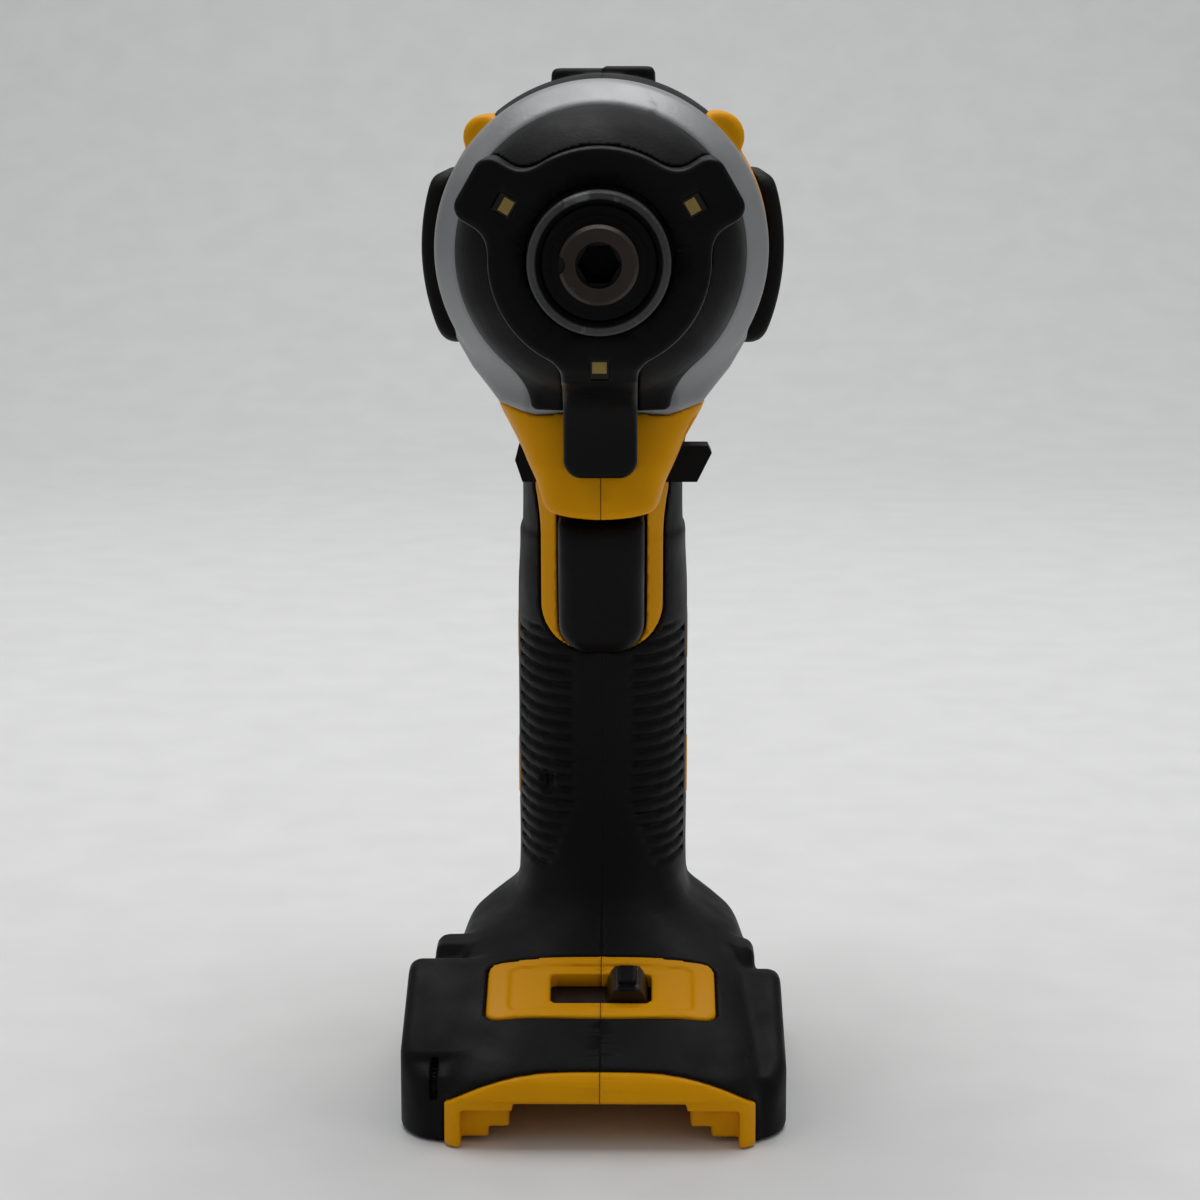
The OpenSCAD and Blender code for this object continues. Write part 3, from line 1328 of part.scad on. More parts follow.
module direction_lever() {
    reach = pivot_y - tip_y;
    color("#5a5b60") translate([0, pivot_y, lever_z0]) rotate([0, 0, lever_angle]) difference() {
        union() {
            cylinder(r = pivot_r * 2, h = lever_len);
            translate([-tip_r, -reach, 0]) cube([2 * tip_r, reach, lever_len]);
            translate([0, -reach, 0]) cylinder(r = tip_r, h = button_z0 + button_h / 3 - lever_z0);
        }
        translate([0, 0, -over]) cylinder(r = pivot_r + run_fit, h = lever_len + 2 * over);
    }
}

// Foot: selector, control module, terminals and belt hook inserts
selector_base = 1.6;
knob_w = slot_w * 0.44;
peg_w = slot_w * 0.22;
peg_h = 4;
selector_x = slot_w / 2 - knob_w / 2 - move_gap;
slide_reach = slot_w * 0.66;
slide_depth = slot_depth * 1.24;
base_top = -wall - skin - move_gap;
module speed_selector() {
    color("#2b2624") at_selector() {
        block([selector_x - slide_reach, -slide_depth / 2, base_top - selector_base],
              [selector_x + slide_reach, slide_depth / 2, base_top]);
        translate([selector_x, 0, base_top - edge]) {
            block([-knob_w / 2, -slot_depth / 2 + move_gap, 0],
                  [knob_w / 2, slot_depth / 2 - move_gap, -base_top]);
            block([-peg_w / 2, -slot_depth / 3, 0], [peg_w / 2, slot_depth / 3, peg_h - base_top]);
        }
    }
}
selector_board_len = 1.2;
selector_board_top = base_top - selector_base - move_gap;
module selector_board() {
    color("#2e5b3a") at_selector()
        block([-slot_w * 0.9, -slot_depth * 0.6, selector_board_top - selector_board_len],
              [slot_w * 0.9, slot_depth * 0.6, selector_board_top]);
}
// Room in the shell for the selector's slide and its board
module selector_room() {
    reach = slide_reach + selector_x + move_gap;
    depth = slide_depth / 2 + move_gap;
    at_selector()
        block([-reach, -depth, selector_board_top - selector_board_len - seat_gap],
              [reach, depth, base_top + move_gap]);
}
module board_rest(s) {
    at_selector() translate([s * slot_w * 0.75 - wall / 2, -slot_depth / 2, selector_board_top - lug_h / 3])
        cube([wall, slot_depth, lug_h / 3]);
}
module_w = 38;
module_ahead = 12;
module_y0 = grip_foot_front_y - module_ahead;
module_y1 = grip_foot_back_y - boss_r * 4;
module_z0 = floor_z + seat_gap;
module_z1 = foot_h * 0.45;
module control_module() {
    color("#303236") block([-module_w / 2, module_y0, module_z0], [module_w / 2, module_y1, module_z1]);
}
module module_rest(s) {
    side = module_w / 2 + seat_gap;
    block([s > 0 ? side : -side - wall, module_y0 + wall * 2, floor_z - wall / 2],
          [s > 0 ? side + wall : -side, module_y0 + wall * 6, module_z1 - wall]);
}
terminal_w = 32;
terminal_y0 = module_y0 + wall * 3;
terminal_len = 16;
terminal_y1 = terminal_y0 + terminal_len;
terminal_z0 = 1.6;
terminal_z1 = floor_z;
blade_xs_shares = [-0.36, -0.14, 0.14, 0.36];
blade_thick = 0.8;
blade_reach = 12;
blade_z0 = terminal_z0 + wall / 3;
blade_z1 = bay_h - wall / 4;
module blades(gap) {
    half = blade_thick / 2 + gap;
    for (s = blade_xs_shares)
        block([s * terminal_w - half, terminal_y0 - blade_reach - gap, blade_z0 - gap],
              [s * terminal_w + half, terminal_y1 - wall + gap, blade_z1 + gap]);
}
module terminal_block() {
    color(black) difference() {
        block([-terminal_w / 2, terminal_y0, terminal_z0], [terminal_w / 2, terminal_y1, terminal_z1]);
        blades(seat_gap / 2);
    }
}
module terminal_blades() { color("#c9b37a") blades(0); }
hook_r = 3;
hook_y = blend(lug_front_y, lug_back_y, 0.6);
hook_z = lug_h * 0.5;
hook_sink = 0.3;
function hook_reach(s) = (s > 0 ? lug_right_reach : lug_left_reach) - hook_sink;
module hook_pocket(s) {
    far = hook_reach(s);
    cross_rod(s > 0 ? far - hook_insert_len - seat_gap : -far - over,
              s > 0 ? far + over : hook_insert_len + seat_gap - far, hook_y, hook_z, hook_r + seat_gap);
}
module belt_hook_inserts() {
    color("#c09a4a") for (s = [0, 1]) mirror([s, 0, 0]) difference() {
        far = hook_reach(s > 0 ? -1 : 1);
        cross_rod(far - hook_insert_len, far, hook_y, hook_z, hook_r);
        cross_rod(far - hook_insert_len - over, far + over, hook_y, hook_z, hook_thread_d / 2);
    }
}

left_housing();
right_housing();
left_grip();
right_grip();
housing_screws();
hammer_case();
nose_boot();
lamp_ring();
lamp_lenses();
lamp_chips();
nose_bush();
anvil();
detent_ball(-1);  // left_detent_ball
detent_ball(1);  // right_detent_ball
collar();
collar_spring();
collar_washer();
collar_clip();
hammer();
cam_balls();
thrust_washer();
thrust_balls();
hammer_spring();
spring_seat();
cam_shaft();
planet_pins();
planet_gear(0);  // planet_gear_1
planet_gear(1);  // planet_gear_2
planet_gear(2);  // planet_gear_3
ring_gear();
gear_plate();
cam_bearing();
pinion();
rotor_shaft();
rotor_core();
cooling_fan();
front_bearing();
rear_bearing();
stator_core();
stator_coils();
stator_insulators();
sensor_board();
motor_leads();
trigger();
trigger_spring();
trigger_switch();
direction_button();
direction_lever();
speed_selector();
selector_board();
control_module();
terminal_block();
terminal_blades();
belt_hook_inserts();
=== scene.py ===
import json
import math

import bpy
import numpy as np
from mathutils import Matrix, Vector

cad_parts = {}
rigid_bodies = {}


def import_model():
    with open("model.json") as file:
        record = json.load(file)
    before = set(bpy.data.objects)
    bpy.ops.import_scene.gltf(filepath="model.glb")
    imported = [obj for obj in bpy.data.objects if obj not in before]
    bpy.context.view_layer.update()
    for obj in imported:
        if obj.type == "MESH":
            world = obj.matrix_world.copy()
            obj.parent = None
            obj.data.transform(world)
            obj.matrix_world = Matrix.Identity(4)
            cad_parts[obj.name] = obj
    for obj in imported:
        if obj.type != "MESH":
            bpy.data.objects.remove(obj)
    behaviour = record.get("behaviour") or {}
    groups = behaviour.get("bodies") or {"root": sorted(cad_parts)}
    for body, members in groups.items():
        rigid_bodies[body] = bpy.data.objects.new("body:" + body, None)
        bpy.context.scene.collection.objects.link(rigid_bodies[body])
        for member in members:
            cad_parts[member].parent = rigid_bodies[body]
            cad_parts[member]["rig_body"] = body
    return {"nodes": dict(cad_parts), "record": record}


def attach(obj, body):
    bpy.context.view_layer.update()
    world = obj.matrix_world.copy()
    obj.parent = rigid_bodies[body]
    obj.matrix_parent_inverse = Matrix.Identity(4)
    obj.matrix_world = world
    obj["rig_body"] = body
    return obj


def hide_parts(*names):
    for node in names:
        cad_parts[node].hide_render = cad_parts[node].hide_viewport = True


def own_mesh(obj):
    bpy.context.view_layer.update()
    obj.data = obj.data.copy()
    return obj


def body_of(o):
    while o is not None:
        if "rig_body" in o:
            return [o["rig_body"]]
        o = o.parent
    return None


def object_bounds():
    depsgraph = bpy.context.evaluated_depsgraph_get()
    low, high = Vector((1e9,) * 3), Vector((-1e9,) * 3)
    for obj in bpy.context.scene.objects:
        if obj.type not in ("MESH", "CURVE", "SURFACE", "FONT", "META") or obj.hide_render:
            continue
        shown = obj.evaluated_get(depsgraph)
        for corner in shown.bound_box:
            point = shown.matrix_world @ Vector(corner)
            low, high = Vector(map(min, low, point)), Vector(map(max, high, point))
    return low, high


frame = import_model()
cad_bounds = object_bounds()

# A cordless impact driver seen from its nose. The object's lengths are millimetres here: the nose points
# to -y and the tool stands on its foot at z = 0. A form is a field on a grid, below zero inside it, and
# skin() makes its closed mesh. The stage and the lights are in metres.
MM = 0.001

# Height of the nose's axis, and the radius round it in which the socket's hole is painted dark as painted
# shade
AXIS = 165.0
MOUTH_R = 4.02

# Grid steps
STEP = 0.5
NOSE_STEP = STEP * 0.75
SELECTOR_STEP = STEP * 0.5
INSERT_STEP = 0.3


# Fields and how they join
def grid(low, high, step):
    return np.ix_(*[np.arange(a, b + step, step, dtype=np.float32) for a, b in zip(low, high)])


def join(a, b, k=0.0):
    if not k:
        return np.minimum(a, b)
    h = np.maximum(k - np.abs(a - b), 0) / k
    return np.minimum(a, b) - h * h * k / 4


def meet(a, b, k=0.0):
    if not k:
        return np.maximum(a, b)
    h = np.maximum(k - np.abs(a - b), 0) / k
    return np.maximum(a, b) + h * h * k / 4


def curve(at, points):
    """A smooth line through (key, value) points that doesn't overshoot them."""
    keys, values = np.array(points, float).T
    gaps = np.diff(keys)
    rises = np.diff(values) / gaps
    slopes = np.concatenate([rises[:1], np.zeros(len(keys) - 2), rises[-1:]])
    same = rises[1:] * rises[:-1] > 0
    slopes[1:-1][same] = 2 * rises[1:][same] * rises[:-1][same] / (rises[1:] + rises[:-1])[same]
    at = np.clip(at, keys[0], keys[-1])
    i = np.clip(np.searchsorted(keys, at) - 1, 0, len(gaps) - 1)
    t = (at - keys[i]) / gaps[i]
    a = values[i] * (1 + 2 * t) * (1 - t) ** 2 + gaps[i] * slopes[i] * t * (1 - t) ** 2
    a = a + values[i + 1] * t * t * (3 - 2 * t)
    return (a - gaps[i] * slopes[i + 1] * t * t * (1 - t)).astype(np.float32)


LEAST_SLOPE_SQUARED = 0.04


def even(f, step):
    """The field with a slope of one near its surface, so that a level is a distance."""
    gx, gy, gz = np.gradient(f, step)
    return f / np.sqrt(np.maximum(gx * gx + gy * gy + gz * gz, LEAST_SLOPE_SQUARED))


def box(x, y, z, low, high, r=0.0):
    q = [np.abs(p - (a + b) / 2) - ((b - a) / 2 - r) for p, a, b in zip((x, y, z), low, high)]
    out = np.sqrt(sum(np.maximum(p, 0) ** 2 for p in q))
    return out + np.minimum(np.maximum(np.maximum(q[0], q[1]), q[2]), 0) - r


def plate(a, b, half_a, half_b, r):
    qa, qb = np.abs(a) - half_a + r, np.abs(b) - half_b + r
    return np.hypot(np.maximum(qa, 0), np.maximum(qb, 0)) + np.minimum(np.maximum(qa, qb), 0) - r


def outline(a, b, points):
    """Distance to a closed outline in the plane of a and b."""
    near, odd = np.inf, False
    for (a0, b0), (a1, b1) in zip(points, points[1:] + points[:1]):
        ea, eb = a1 - a0, b1 - b0
        t = np.clip(((a - a0) * ea + (b - b0) * eb) / (ea * ea + eb * eb), 0, 1)
        near = np.minimum(near, np.hypot(a - a0 - t * ea, b - b0 - t * eb))
        cross = (b0 > b) != (b1 > b)
        side = a < a0 + ea * (b - b0) / (eb if eb else 1e-9)
        odd = np.logical_xor(odd, cross & side)
    return np.where(odd, -near, near).astype(np.float32)


def turned(x, y, z, points, k=1.0):
    """A solid turned about the axis from a bulging outline of (y, radius) points, front to back."""
    r = np.hypot(x, z - AXIS)
    f = meet(points[0][0] - y, y - points[-1][0], k)
    for (y0, r0), (y1, r1) in zip(points, points[1:]):
        size = math.hypot(y1 - y0, r1 - r0)
        if y1 > y0:
            f = meet(f, ((r - r0) * (y1 - y0) - (y - y0) * (r1 - r0)) / size, k)
    return f


# Meshes. Points nearer to the parting than this share of a step are set on it, in a few rounds
RIM_SHARE, RIM_ROUNDS, RIM_SLOPE_SQUARED = 0.8, 3, 0.25


def at_points(f, points, low, step):
    """Values of a field at points, blended between the grid's places."""
    u = np.clip((points - np.array(low)) / step, 0, np.array(f.shape) - 1.001)
    i = u.astype(int)
    t = u - i
    total = 0
    for a in (0, 1):
        for b in (0, 1):
            for c in (0, 1):
                share = np.abs(1 - a - t[:, 0]) * np.abs(1 - b - t[:, 1]) * np.abs(1 - c - t[:, 2])
                total = total + share * f[i[:, 0] + a, i[:, 1] + b, i[:, 2] + c]
    return total


def skin(name, f, low, step, keep=1.0, side=0, parting=0.0):
    """The closed mesh of a field's zero level, as an object in metres.

    A side keeps one half, cut at the parting. keep is the share of the faces that stays.
    """
    f = np.ascontiguousarray(f, np.float32)
    whole = f
    if side:
        x = low[0] + step * np.arange(f.shape[0], dtype=np.float32)[:, None, None]
        f = np.maximum(f, parting - side * x)
    for axis in range(3):
        edge = np.moveaxis(f, axis, 0)
        edge[0], edge[-1] = np.maximum(edge[0], step / 4), np.maximum(edge[-1], step / 4)
    inside = f < 0
    n = np.array(f.shape)
    corners = [(a, b, c) for a in (0, 1) for b in (0, 1) for c in (0, 1)]
    count = sum(inside[a:n[0] - 1 + a, b:n[1] - 1 + b, c:n[2] - 1 + c].astype(np.uint8)
                for a, b, c in corners)
    active = (count > 0) & (count < len(corners))
    cells = np.argwhere(active)
    number = np.full(active.shape, -1, np.int64)
    number[active] = np.arange(len(cells))
    value = {c: f[cells[:, 0] + c[0], cells[:, 1] + c[1], cells[:, 2] + c[2]] for c in corners}
    total, hits = np.zeros((len(cells), 3)), np.zeros((len(cells), 1))
    for c in corners:
        for axis in range(3):
            if c[axis] == 0:
                d = tuple(1 if i == axis else c[i] for i in range(3))
                cross = (value[c] < 0) != (value[d] < 0)
                t = np.where(cross, value[c] / np.where(cross, value[c] - value[d], 1), 0)
                p = np.array(c, float) + t[:, None] * (np.array(d) - np.array(c))
                total += p * cross[:, None]
                hits += cross[:, None]
    points = (cells + total / np.maximum(hits, 1)) * step + np.array(low)
    if side:
        near = np.abs(side * points[:, 0] - parting) < RIM_SHARE * step
        rim = points[near]
        rim[:, 0] = side * parting
        for _ in range(RIM_ROUNDS):
            level = at_points(whole, rim, low, step)
            slope = np.stack([at_points(whole, rim + d, low, step) - at_points(whole, rim - d, low, step)
                              for d in (np.array((0, step / 2, 0)), np.array((0, 0, step / 2)))], 1) / step
            move = (level / np.maximum((slope ** 2).sum(1), RIM_SLOPE_SQUARED))[:, None] * slope
            rim[:, 1:] -= np.where(np.abs(level)[:, None] < step, move, 0)
        points[near] = rim
    quads = []
    for axis in range(3):
        u, v = [i for i in range(3) if i != axis]
        s = [slice(1, -1)] * 3
        s[axis] = slice(0, -1)
        t = list(s)
        t[axis] = slice(1, None)
        change = inside[tuple(s)] != inside[tuple(t)]
        at = np.argwhere(change) + np.array([0 if i == axis else 1 for i in range(3)])
        first = inside[at[:, 0], at[:, 1], at[:, 2]]
        ring = []
        for du, dv in ((0, 0), (-1, 0), (-1, -1), (0, -1)):
            c = at.copy()
            c[:, u] += du
            c[:, v] += dv
            ring.append(number[c[:, 0], c[:, 1], c[:, 2]])
        ring = np.stack(ring, 1)
        turn = first if axis != 1 else ~first
        ring[~turn] = ring[~turn][:, ::-1]
        quads.append(ring)
    return mesh_object(name, points * MM, np.concatenate(quads), keep)


def mesh_object(name, points, quads, keep=1.0):
    mesh = bpy.data.meshes.new(name)
    mesh.vertices.add(len(points))
    mesh.vertices.foreach_set("co", np.asarray(points, np.float32).ravel())
    mesh.loops.add(quads.size)
    mesh.loops.foreach_set("vertex_index", quads.ravel().astype(np.int32))
    mesh.polygons.add(len(quads))
    mesh.polygons.foreach_set("loop_start", np.arange(0, quads.size, quads.shape[1], dtype=np.int32))
    mesh.update(calc_edges=True)
    mesh.validate()
    piece = bpy.data.objects.new(name, mesh)
    bpy.context.scene.collection.objects.link(piece)
    if keep < 1:
        fewer = piece.modifiers.new("fewer", "DECIMATE")
        fewer.ratio = keep
        bpy.context.view_layer.update()
        done = bpy.data.meshes.new_from_object(piece.evaluated_get(bpy.context.evaluated_depsgraph_get()))
        piece.modifiers.clear()
        piece.data = done
    places = np.empty(len(piece.data.vertices) * 3, np.float32)
    piece.data.vertices.foreach_get("co", places)
    places = np.clip(places.reshape(-1, 3), np.array(cad_bounds[0]), np.array(cad_bounds[1]))
    piece.data.vertices.foreach_set("co", places.astype(np.float32).ravel())
    piece.data.polygons.foreach_set("use_smooth", np.ones(len(piece.data.polygons), bool))
    return piece


def stand_in(piece, body, node, material):
    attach(piece, body)
    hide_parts(node)
    piece.data.materials.clear()
    piece.data.materials.append(material)
    return piece


# Materials: scales of the noises for colour, worn spots and gloss, and what they do
TINT_SCALE, SPOT_SCALE, GLOSS_SCALE = 45, 140, 90
SPOT_EDGE, GLOSS_SWING, LEAST_ROUGH = 0.08, 0.1, 0.03
WAVE_DISTORTION, WAVE_DETAIL = 6, 4
GRAIN_DEPTH = 0.0004
# Colour of the painted shade in the socket's hole and deep inside the nose
PAINTED_SHADE = (0.0025, 0.002, 0.002)


def finish(name, colour, rough, metal=0.0, grain=400.0, vary=0.12, bump=0.1, wear=0.0, worn=None,
           scratch=0.0, shine=0.5, deep=None):
    """Colour and roughness that vary with two noises, a fine grain, worn spots and fine lines.

    With deep, in metres, the hole on the nose's axis and all that lies behind that y get painted shade, a
    near-black colour.
    """
    material = bpy.data.materials.new(name)
    material.use_nodes = True
    tree = material.node_tree
    shader = tree.nodes["Principled BSDF"]
    shader.inputs["Metallic"].default_value = metal
    shader.inputs["Specular IOR Level"].default_value = shine
    place = tree.nodes.new("ShaderNodeTexCoord").outputs["Object"]

    def noise(scale, detail):
        node = tree.nodes.new("ShaderNodeTexNoise")
        node.inputs["Scale"].default_value = scale
        node.inputs["Detail"].default_value = detail
        tree.links.new(place, node.inputs["Vector"])
        return node.outputs["Fac"]

    def ramp(source, stops):
        node = tree.nodes.new("ShaderNodeValToRGB")
        for element, (position, c) in zip(node.color_ramp.elements, stops):
            element.position = position
            element.color = (*c, 1)
        tree.links.new(source, node.inputs["Fac"])
        return node.outputs["Color"]

    def sums(kind, first, second):
        node = tree.nodes.new("ShaderNodeMath")
        node.operation = kind
        tree.links.new(first, node.inputs[0])
        if isinstance(second, float):
            node.inputs[1].default_value = second
        else:
            tree.links.new(second, node.inputs[1])
        return node.outputs[0]

    def over(under, share, top):
        mix = tree.nodes.new("ShaderNodeMix")
        mix.data_type = "RGBA"
        tree.links.new(share, mix.inputs["Factor"])
        tree.links.new(under, mix.inputs["A"])
        mix.inputs["B"].default_value = (*top, 1)
        return mix.outputs["Result"]

    dark, light = [c * (1 - vary) for c in colour], [min(1, c * (1 + vary)) for c in colour]
    tint = ramp(noise(TINT_SCALE, 4), [(0.35, dark), (0.65, light)])
    if wear:
        spots = ramp(noise(SPOT_SCALE, 6), [(1 - wear, (0, 0, 0)), (1 - wear + SPOT_EDGE, (1, 1, 1))])
        tint = over(tint, spots, worn)
    # Painted shade: the hole on the nose's axis and all that lies behind deep turn near-black
    if deep is not None:
        axes = tree.nodes.new("ShaderNodeSeparateXYZ")
        tree.links.new(tree.nodes.new("ShaderNodeNewGeometry").outputs["Position"], axes.inputs[0])
        level = tree.nodes.new("ShaderNodeCombineXYZ")
        tree.links.new(axes.outputs["X"], level.inputs["X"])
        tree.links.new(axes.outputs["Z"], level.inputs["Z"])
        apart = tree.nodes.new("ShaderNodeVectorMath")
        apart.operation = "DISTANCE"
        tree.links.new(level.outputs[0], apart.inputs[0])
        apart.inputs[1].default_value = (0, 0, AXIS * MM)
        hole = sums("LESS_THAN", apart.outputs["Value"], MOUTH_R * MM)
        behind = sums("GREATER_THAN", axes.outputs["Y"], deep)
        tint = over(tint, sums("MAXIMUM", hole, behind), PAINTED_SHADE)
    tree.links.new(tint, shader.inputs["Base Color"])
    low, high = max(LEAST_ROUGH, rough - GLOSS_SWING), min(1, rough + GLOSS_SWING)
    gloss = ramp(noise(GLOSS_SCALE, 3), [(0.3, [low] * 3), (0.7, [high] * 3)])
    tree.links.new(gloss, shader.inputs["Roughness"])
    height = noise(grain, 3)
    if scratch:
        lines = tree.nodes.new("ShaderNodeTexWave")
        lines.inputs["Scale"].default_value = scratch
        lines.inputs["Distortion"].default_value = WAVE_DISTORTION
        lines.inputs["Detail"].default_value = WAVE_DETAIL
        tree.links.new(place, lines.inputs["Vector"])
        height = sums("ADD", height, lines.outputs["Fac"])
    relief = tree.nodes.new("ShaderNodeBump")
    relief.inputs["Strength"].default_value = bump
    relief.inputs["Distance"].default_value = GRAIN_DEPTH
    tree.links.new(height, relief.inputs["Height"])
    tree.links.new(relief.outputs["Normal"], shader.inputs["Normal"])
    return material


yellow = finish("yellow_shell", (0.76, 0.33, 0.001), 0.45, grain=900, vary=0.05, bump=0.06, wear=0.3,
                worn=(0.55, 0.24, 0.003), shine=0.08)
rubber = finish("black_rubber", (0.0045, 0.0045, 0.005), 0.55, grain=1600, vary=0.2, bump=0.16, wear=0.3,
                worn=(0.009, 0.009, 0.0095), shine=0.1)
plastic = finish("black_plastic", (0.004, 0.004, 0.0043), 0.42, grain=1300, vary=0.2, bump=0.08, wear=0.28,
                 worn=(0.008, 0.008, 0.0085), shine=0.1)
aluminium = finish("case_aluminium", (0.29, 0.295, 0.3), 0.5, 0.5, grain=1100, vary=0.1, bump=0.14,
                   wear=0.33, worn=(0.19, 0.19, 0.195))
finishes = {
    "yellow_shell": yellow,
    "black_rubber": rubber,
    "black_plastic": plastic,
    "case_aluminium": aluminium,
    "screw_steel": finish("screw_steel", (0.06, 0.06, 0.065), 0.4, 0.9, bump=0.1),
    "lens": finish("lens", (0.012, 0.008, 0.005), 0.25, bump=0.03, shine=0.3),
    "lamp_chip": finish("lamp_chip", (0.34, 0.24, 0.07), 0.4, bump=0.05, shine=0.2),
    "bronze": finish("bronze", (0.42, 0.26, 0.12), 0.4, 0.9),
    "tool_steel": finish("tool_steel", (0.11, 0.08, 0.06), 0.38, 0.85, grain=700, vary=0.25, bump=0.12,
                         wear=0.35, worn=(0.3, 0.27, 0.24)),
    "collar_steel": finish("collar_steel", (0.012, 0.012, 0.0125), 0.5, 0.3, grain=1500, vary=0.25,
                           bump=0.3, wear=0.35, worn=(0.03, 0.03, 0.03), shine=0.25),
    # Near-black steel as painted shade, for the washer and clip deep inside the collar
    "shade_painted_steel": finish("shade_painted_steel", (0.004, 0.004, 0.004), 0.5, grain=1500, vary=0.3, bump=0.2,
                          shine=0.1),
    "spring_steel": finish("spring_steel", (0.3, 0.3, 0.31), 0.35, 0.95),
    "bright_steel": finish("bright_steel", (0.55, 0.55, 0.56), 0.22, 0.95, bump=0.04),
    "gear_steel": finish("gear_steel", (0.32, 0.32, 0.33), 0.4, 0.9),
    "rotor_iron": finish("rotor_iron", (0.12, 0.12, 0.13), 0.5, 0.7, scratch=300),
    "stator_iron": finish("stator_iron", (0.17, 0.17, 0.18), 0.5, 0.7, scratch=300),
    "copper": finish("copper", (0.52, 0.2, 0.07), 0.35, 0.9, scratch=250, bump=0.3),
    "circuit_board": finish("circuit_board", (0.02, 0.12, 0.05), 0.45, grain=250),
    "lead_sleeve": finish("lead_sleeve", (0.25, 0.02, 0.02), 0.5),
    "smoky_plastic": finish("smoky_plastic", (0.014, 0.008, 0.006), 0.35, bump=0.05, shine=0.25),
    "terminal_brass": finish("terminal_brass", (0.6, 0.46, 0.2), 0.3, 0.95),
}

# The handle with its foot, and the neck: rows of height, front, back, half width and the fullness of
# the front and back corners
BODY = [
    (0, -50, 47, 30.5, 14, 5),
    (8.4, -50, 47, 30.5, 12, 5),
    (12.2, -49.2, 47, 30.4, 8, 4.6),
    (15, -46.4, 47, 30.1, 5.5, 4.2),
    (19, -36, 47, 29.6, 4.4, 3.4),
    (23.5, -25, 46.8, 28.2, 3.8, 2.7),
    (25.4, -20, 46.6, 27.2, 3.5, 2.5),
    (27.3, -15.5, 46.4, 25, 3.3, 2.4),
    (29.2, -11.6, 46, 22.3, 3.1, 2.4),
    (31.1, -8.5, 45.6, 19.6, 2.9, 2.4),
    (33.2, -5.8, 45.2, 17.8, 2.7, 2.4),
    (36.1, -3, 44.6, 17.2, 2.6, 2.5),
    (42, 0, 44, 17.1, 2.6, 2.5),
    (56.7, -2.2, 42.1, 17.2, 2.6, 2.5),
    (72.9, -4.6, 40, 17.1, 2.6, 2.5),
    (86.1, -6.6, 38.3, 17.1, 2.6, 2.5),
    (96.4, -8.1, 37.2, 17, 2.6, 2.5),
    (106.4, -9.6, 37, 16.6, 2.6, 2.8),
    (107.8, -9.8, 37.1, 16.6, 2.6, 2.9),
    (109.4, -10, 37.2, 16.05, 2.6, 3),
    (115.5, -11, 37.8, 15.95, 2.6, 3.1),
    (124, -12.3, 39.2, 16.2, 2.6, 3),
    (130, -13.2, 40.6, 17.6, 2.6, 2.8),
    (136, -14.1, 42.4, 20, 2.6, 2.6),
    (144.9, -15.4, 45, 23, 2.6, 2.5),
]
NECK = [
    (112, -29.3, 3.4, 10.3, 7, 2.6),
    (115.5, -29.5, 3.4, 10.6, 7, 2.6),
    (118, -29.4, 3.4, 11.1, 6.5, 2.6),
    (121.5, -29, 3.4, 12.2, 5.5, 2.6),
    (125, -28.6, 3.4, 13.9, 4.6, 2.6),
    (128, -27.9, 3.4, 15.3, 4, 2.6),
    (132, -26.9, 3.4, 17.5, 3.4, 2.6),
    (136, -25.6, 3.4, 19.6, 3, 2.6),
    (140.3, -23.8, 3.4, 20.6, 3, 2.6),
    (152.7, -22.3, 3.4, 20.6, 3, 2.6),
]
# The round of the head: y and radius
HEAD = [(-9.6, 31.2), (0, 32.3), (24, 32.4), (53.9, 30.2), (61.3, 28.7), (65.3, 25.7), (67.5, 19.3)]
# Thickness of the rubber and of the shell under it
SKIN, WALL = 1.8, 2.4
# Threaded inserts of the belt hook
HOOK_Y, HOOK_Z = -2.57, 13.0
# The foot's lugs: side, reach in x, and the outline of (y, z) in side view
LUGS = [
    (-1, 38, [(-46.8, -6), (-47, 3.1), (-44.4, 12), (-40.6, 13.8), (-39.8, 15.6), (-14.7, 25.2),
              (-11.8, 25.5), (-4, 22.4), (25.8, 13), (25.8, -6)]),
    (1, 35.4, [(-46.3, -6), (-46.5, 3.1), (-42.4, 11.4), (-12.5, 22.8), (-9.7, 22.9), (-1.1, 20),
               (25.8, 11.7), (25.8, -6)]),
    (-1, 33.4, [(-8, -6), (-6, 22), (-3, 26), (3, 26.2), (20, 20), (24, -6)]),
    (1, 30.6, [(-8, -6), (-6, 22), (-3, 25.4), (3, 25.6), (20, 20), (24, -6)]),
]
LUG_MIDDLE, LUG_HALF_X, LUG_HALF_Y, LUG_CORNER, LUG_EDGE, LUG_BLEND = 8, 30, 55.2, 12.0, 3.0, 1.2
BODY_TOP = 147
# Share of the depth at which a row is widest
WIDEST = 0.55
# Clamshell screws: y and z
SCREWS = [(-17.5, 130.8), (31.5, 115.5), (33.6, 71.4), (37.7, 42), (41.1, 15.75), (27.8, 195), (51.3, 195)]


def loft(x, y, z, rows, step):
    keys = [r[0] for r in rows]
    lines = [curve(z, list(zip(keys, [r[i] for r in rows]))) for i in range(1, len(rows[0]))]
    front, back, half, full_front, full_back = lines
    middle = front + WIDEST * (back - front)
    ahead = y < middle
    reach = np.where(ahead, middle - front, back - middle)
    full = np.where(ahead, full_front, full_back)
    share = ((np.abs(x) / half) ** full + (np.abs(y - middle) / reach) ** full) ** (1 / full)
    return even(((share - 1) * np.minimum(half, reach)).astype(np.float32), step)


def lug(x, y, z, side, reach, points):
    """A lug from its side view, with a plan that is round at the outer front corner."""
    plan = plate(side * x - (reach - LUG_HALF_X), y - LUG_MIDDLE, LUG_HALF_X, LUG_HALF_Y, LUG_CORNER)
    return meet(outline(y, z, points), plan, LUG_EDGE)


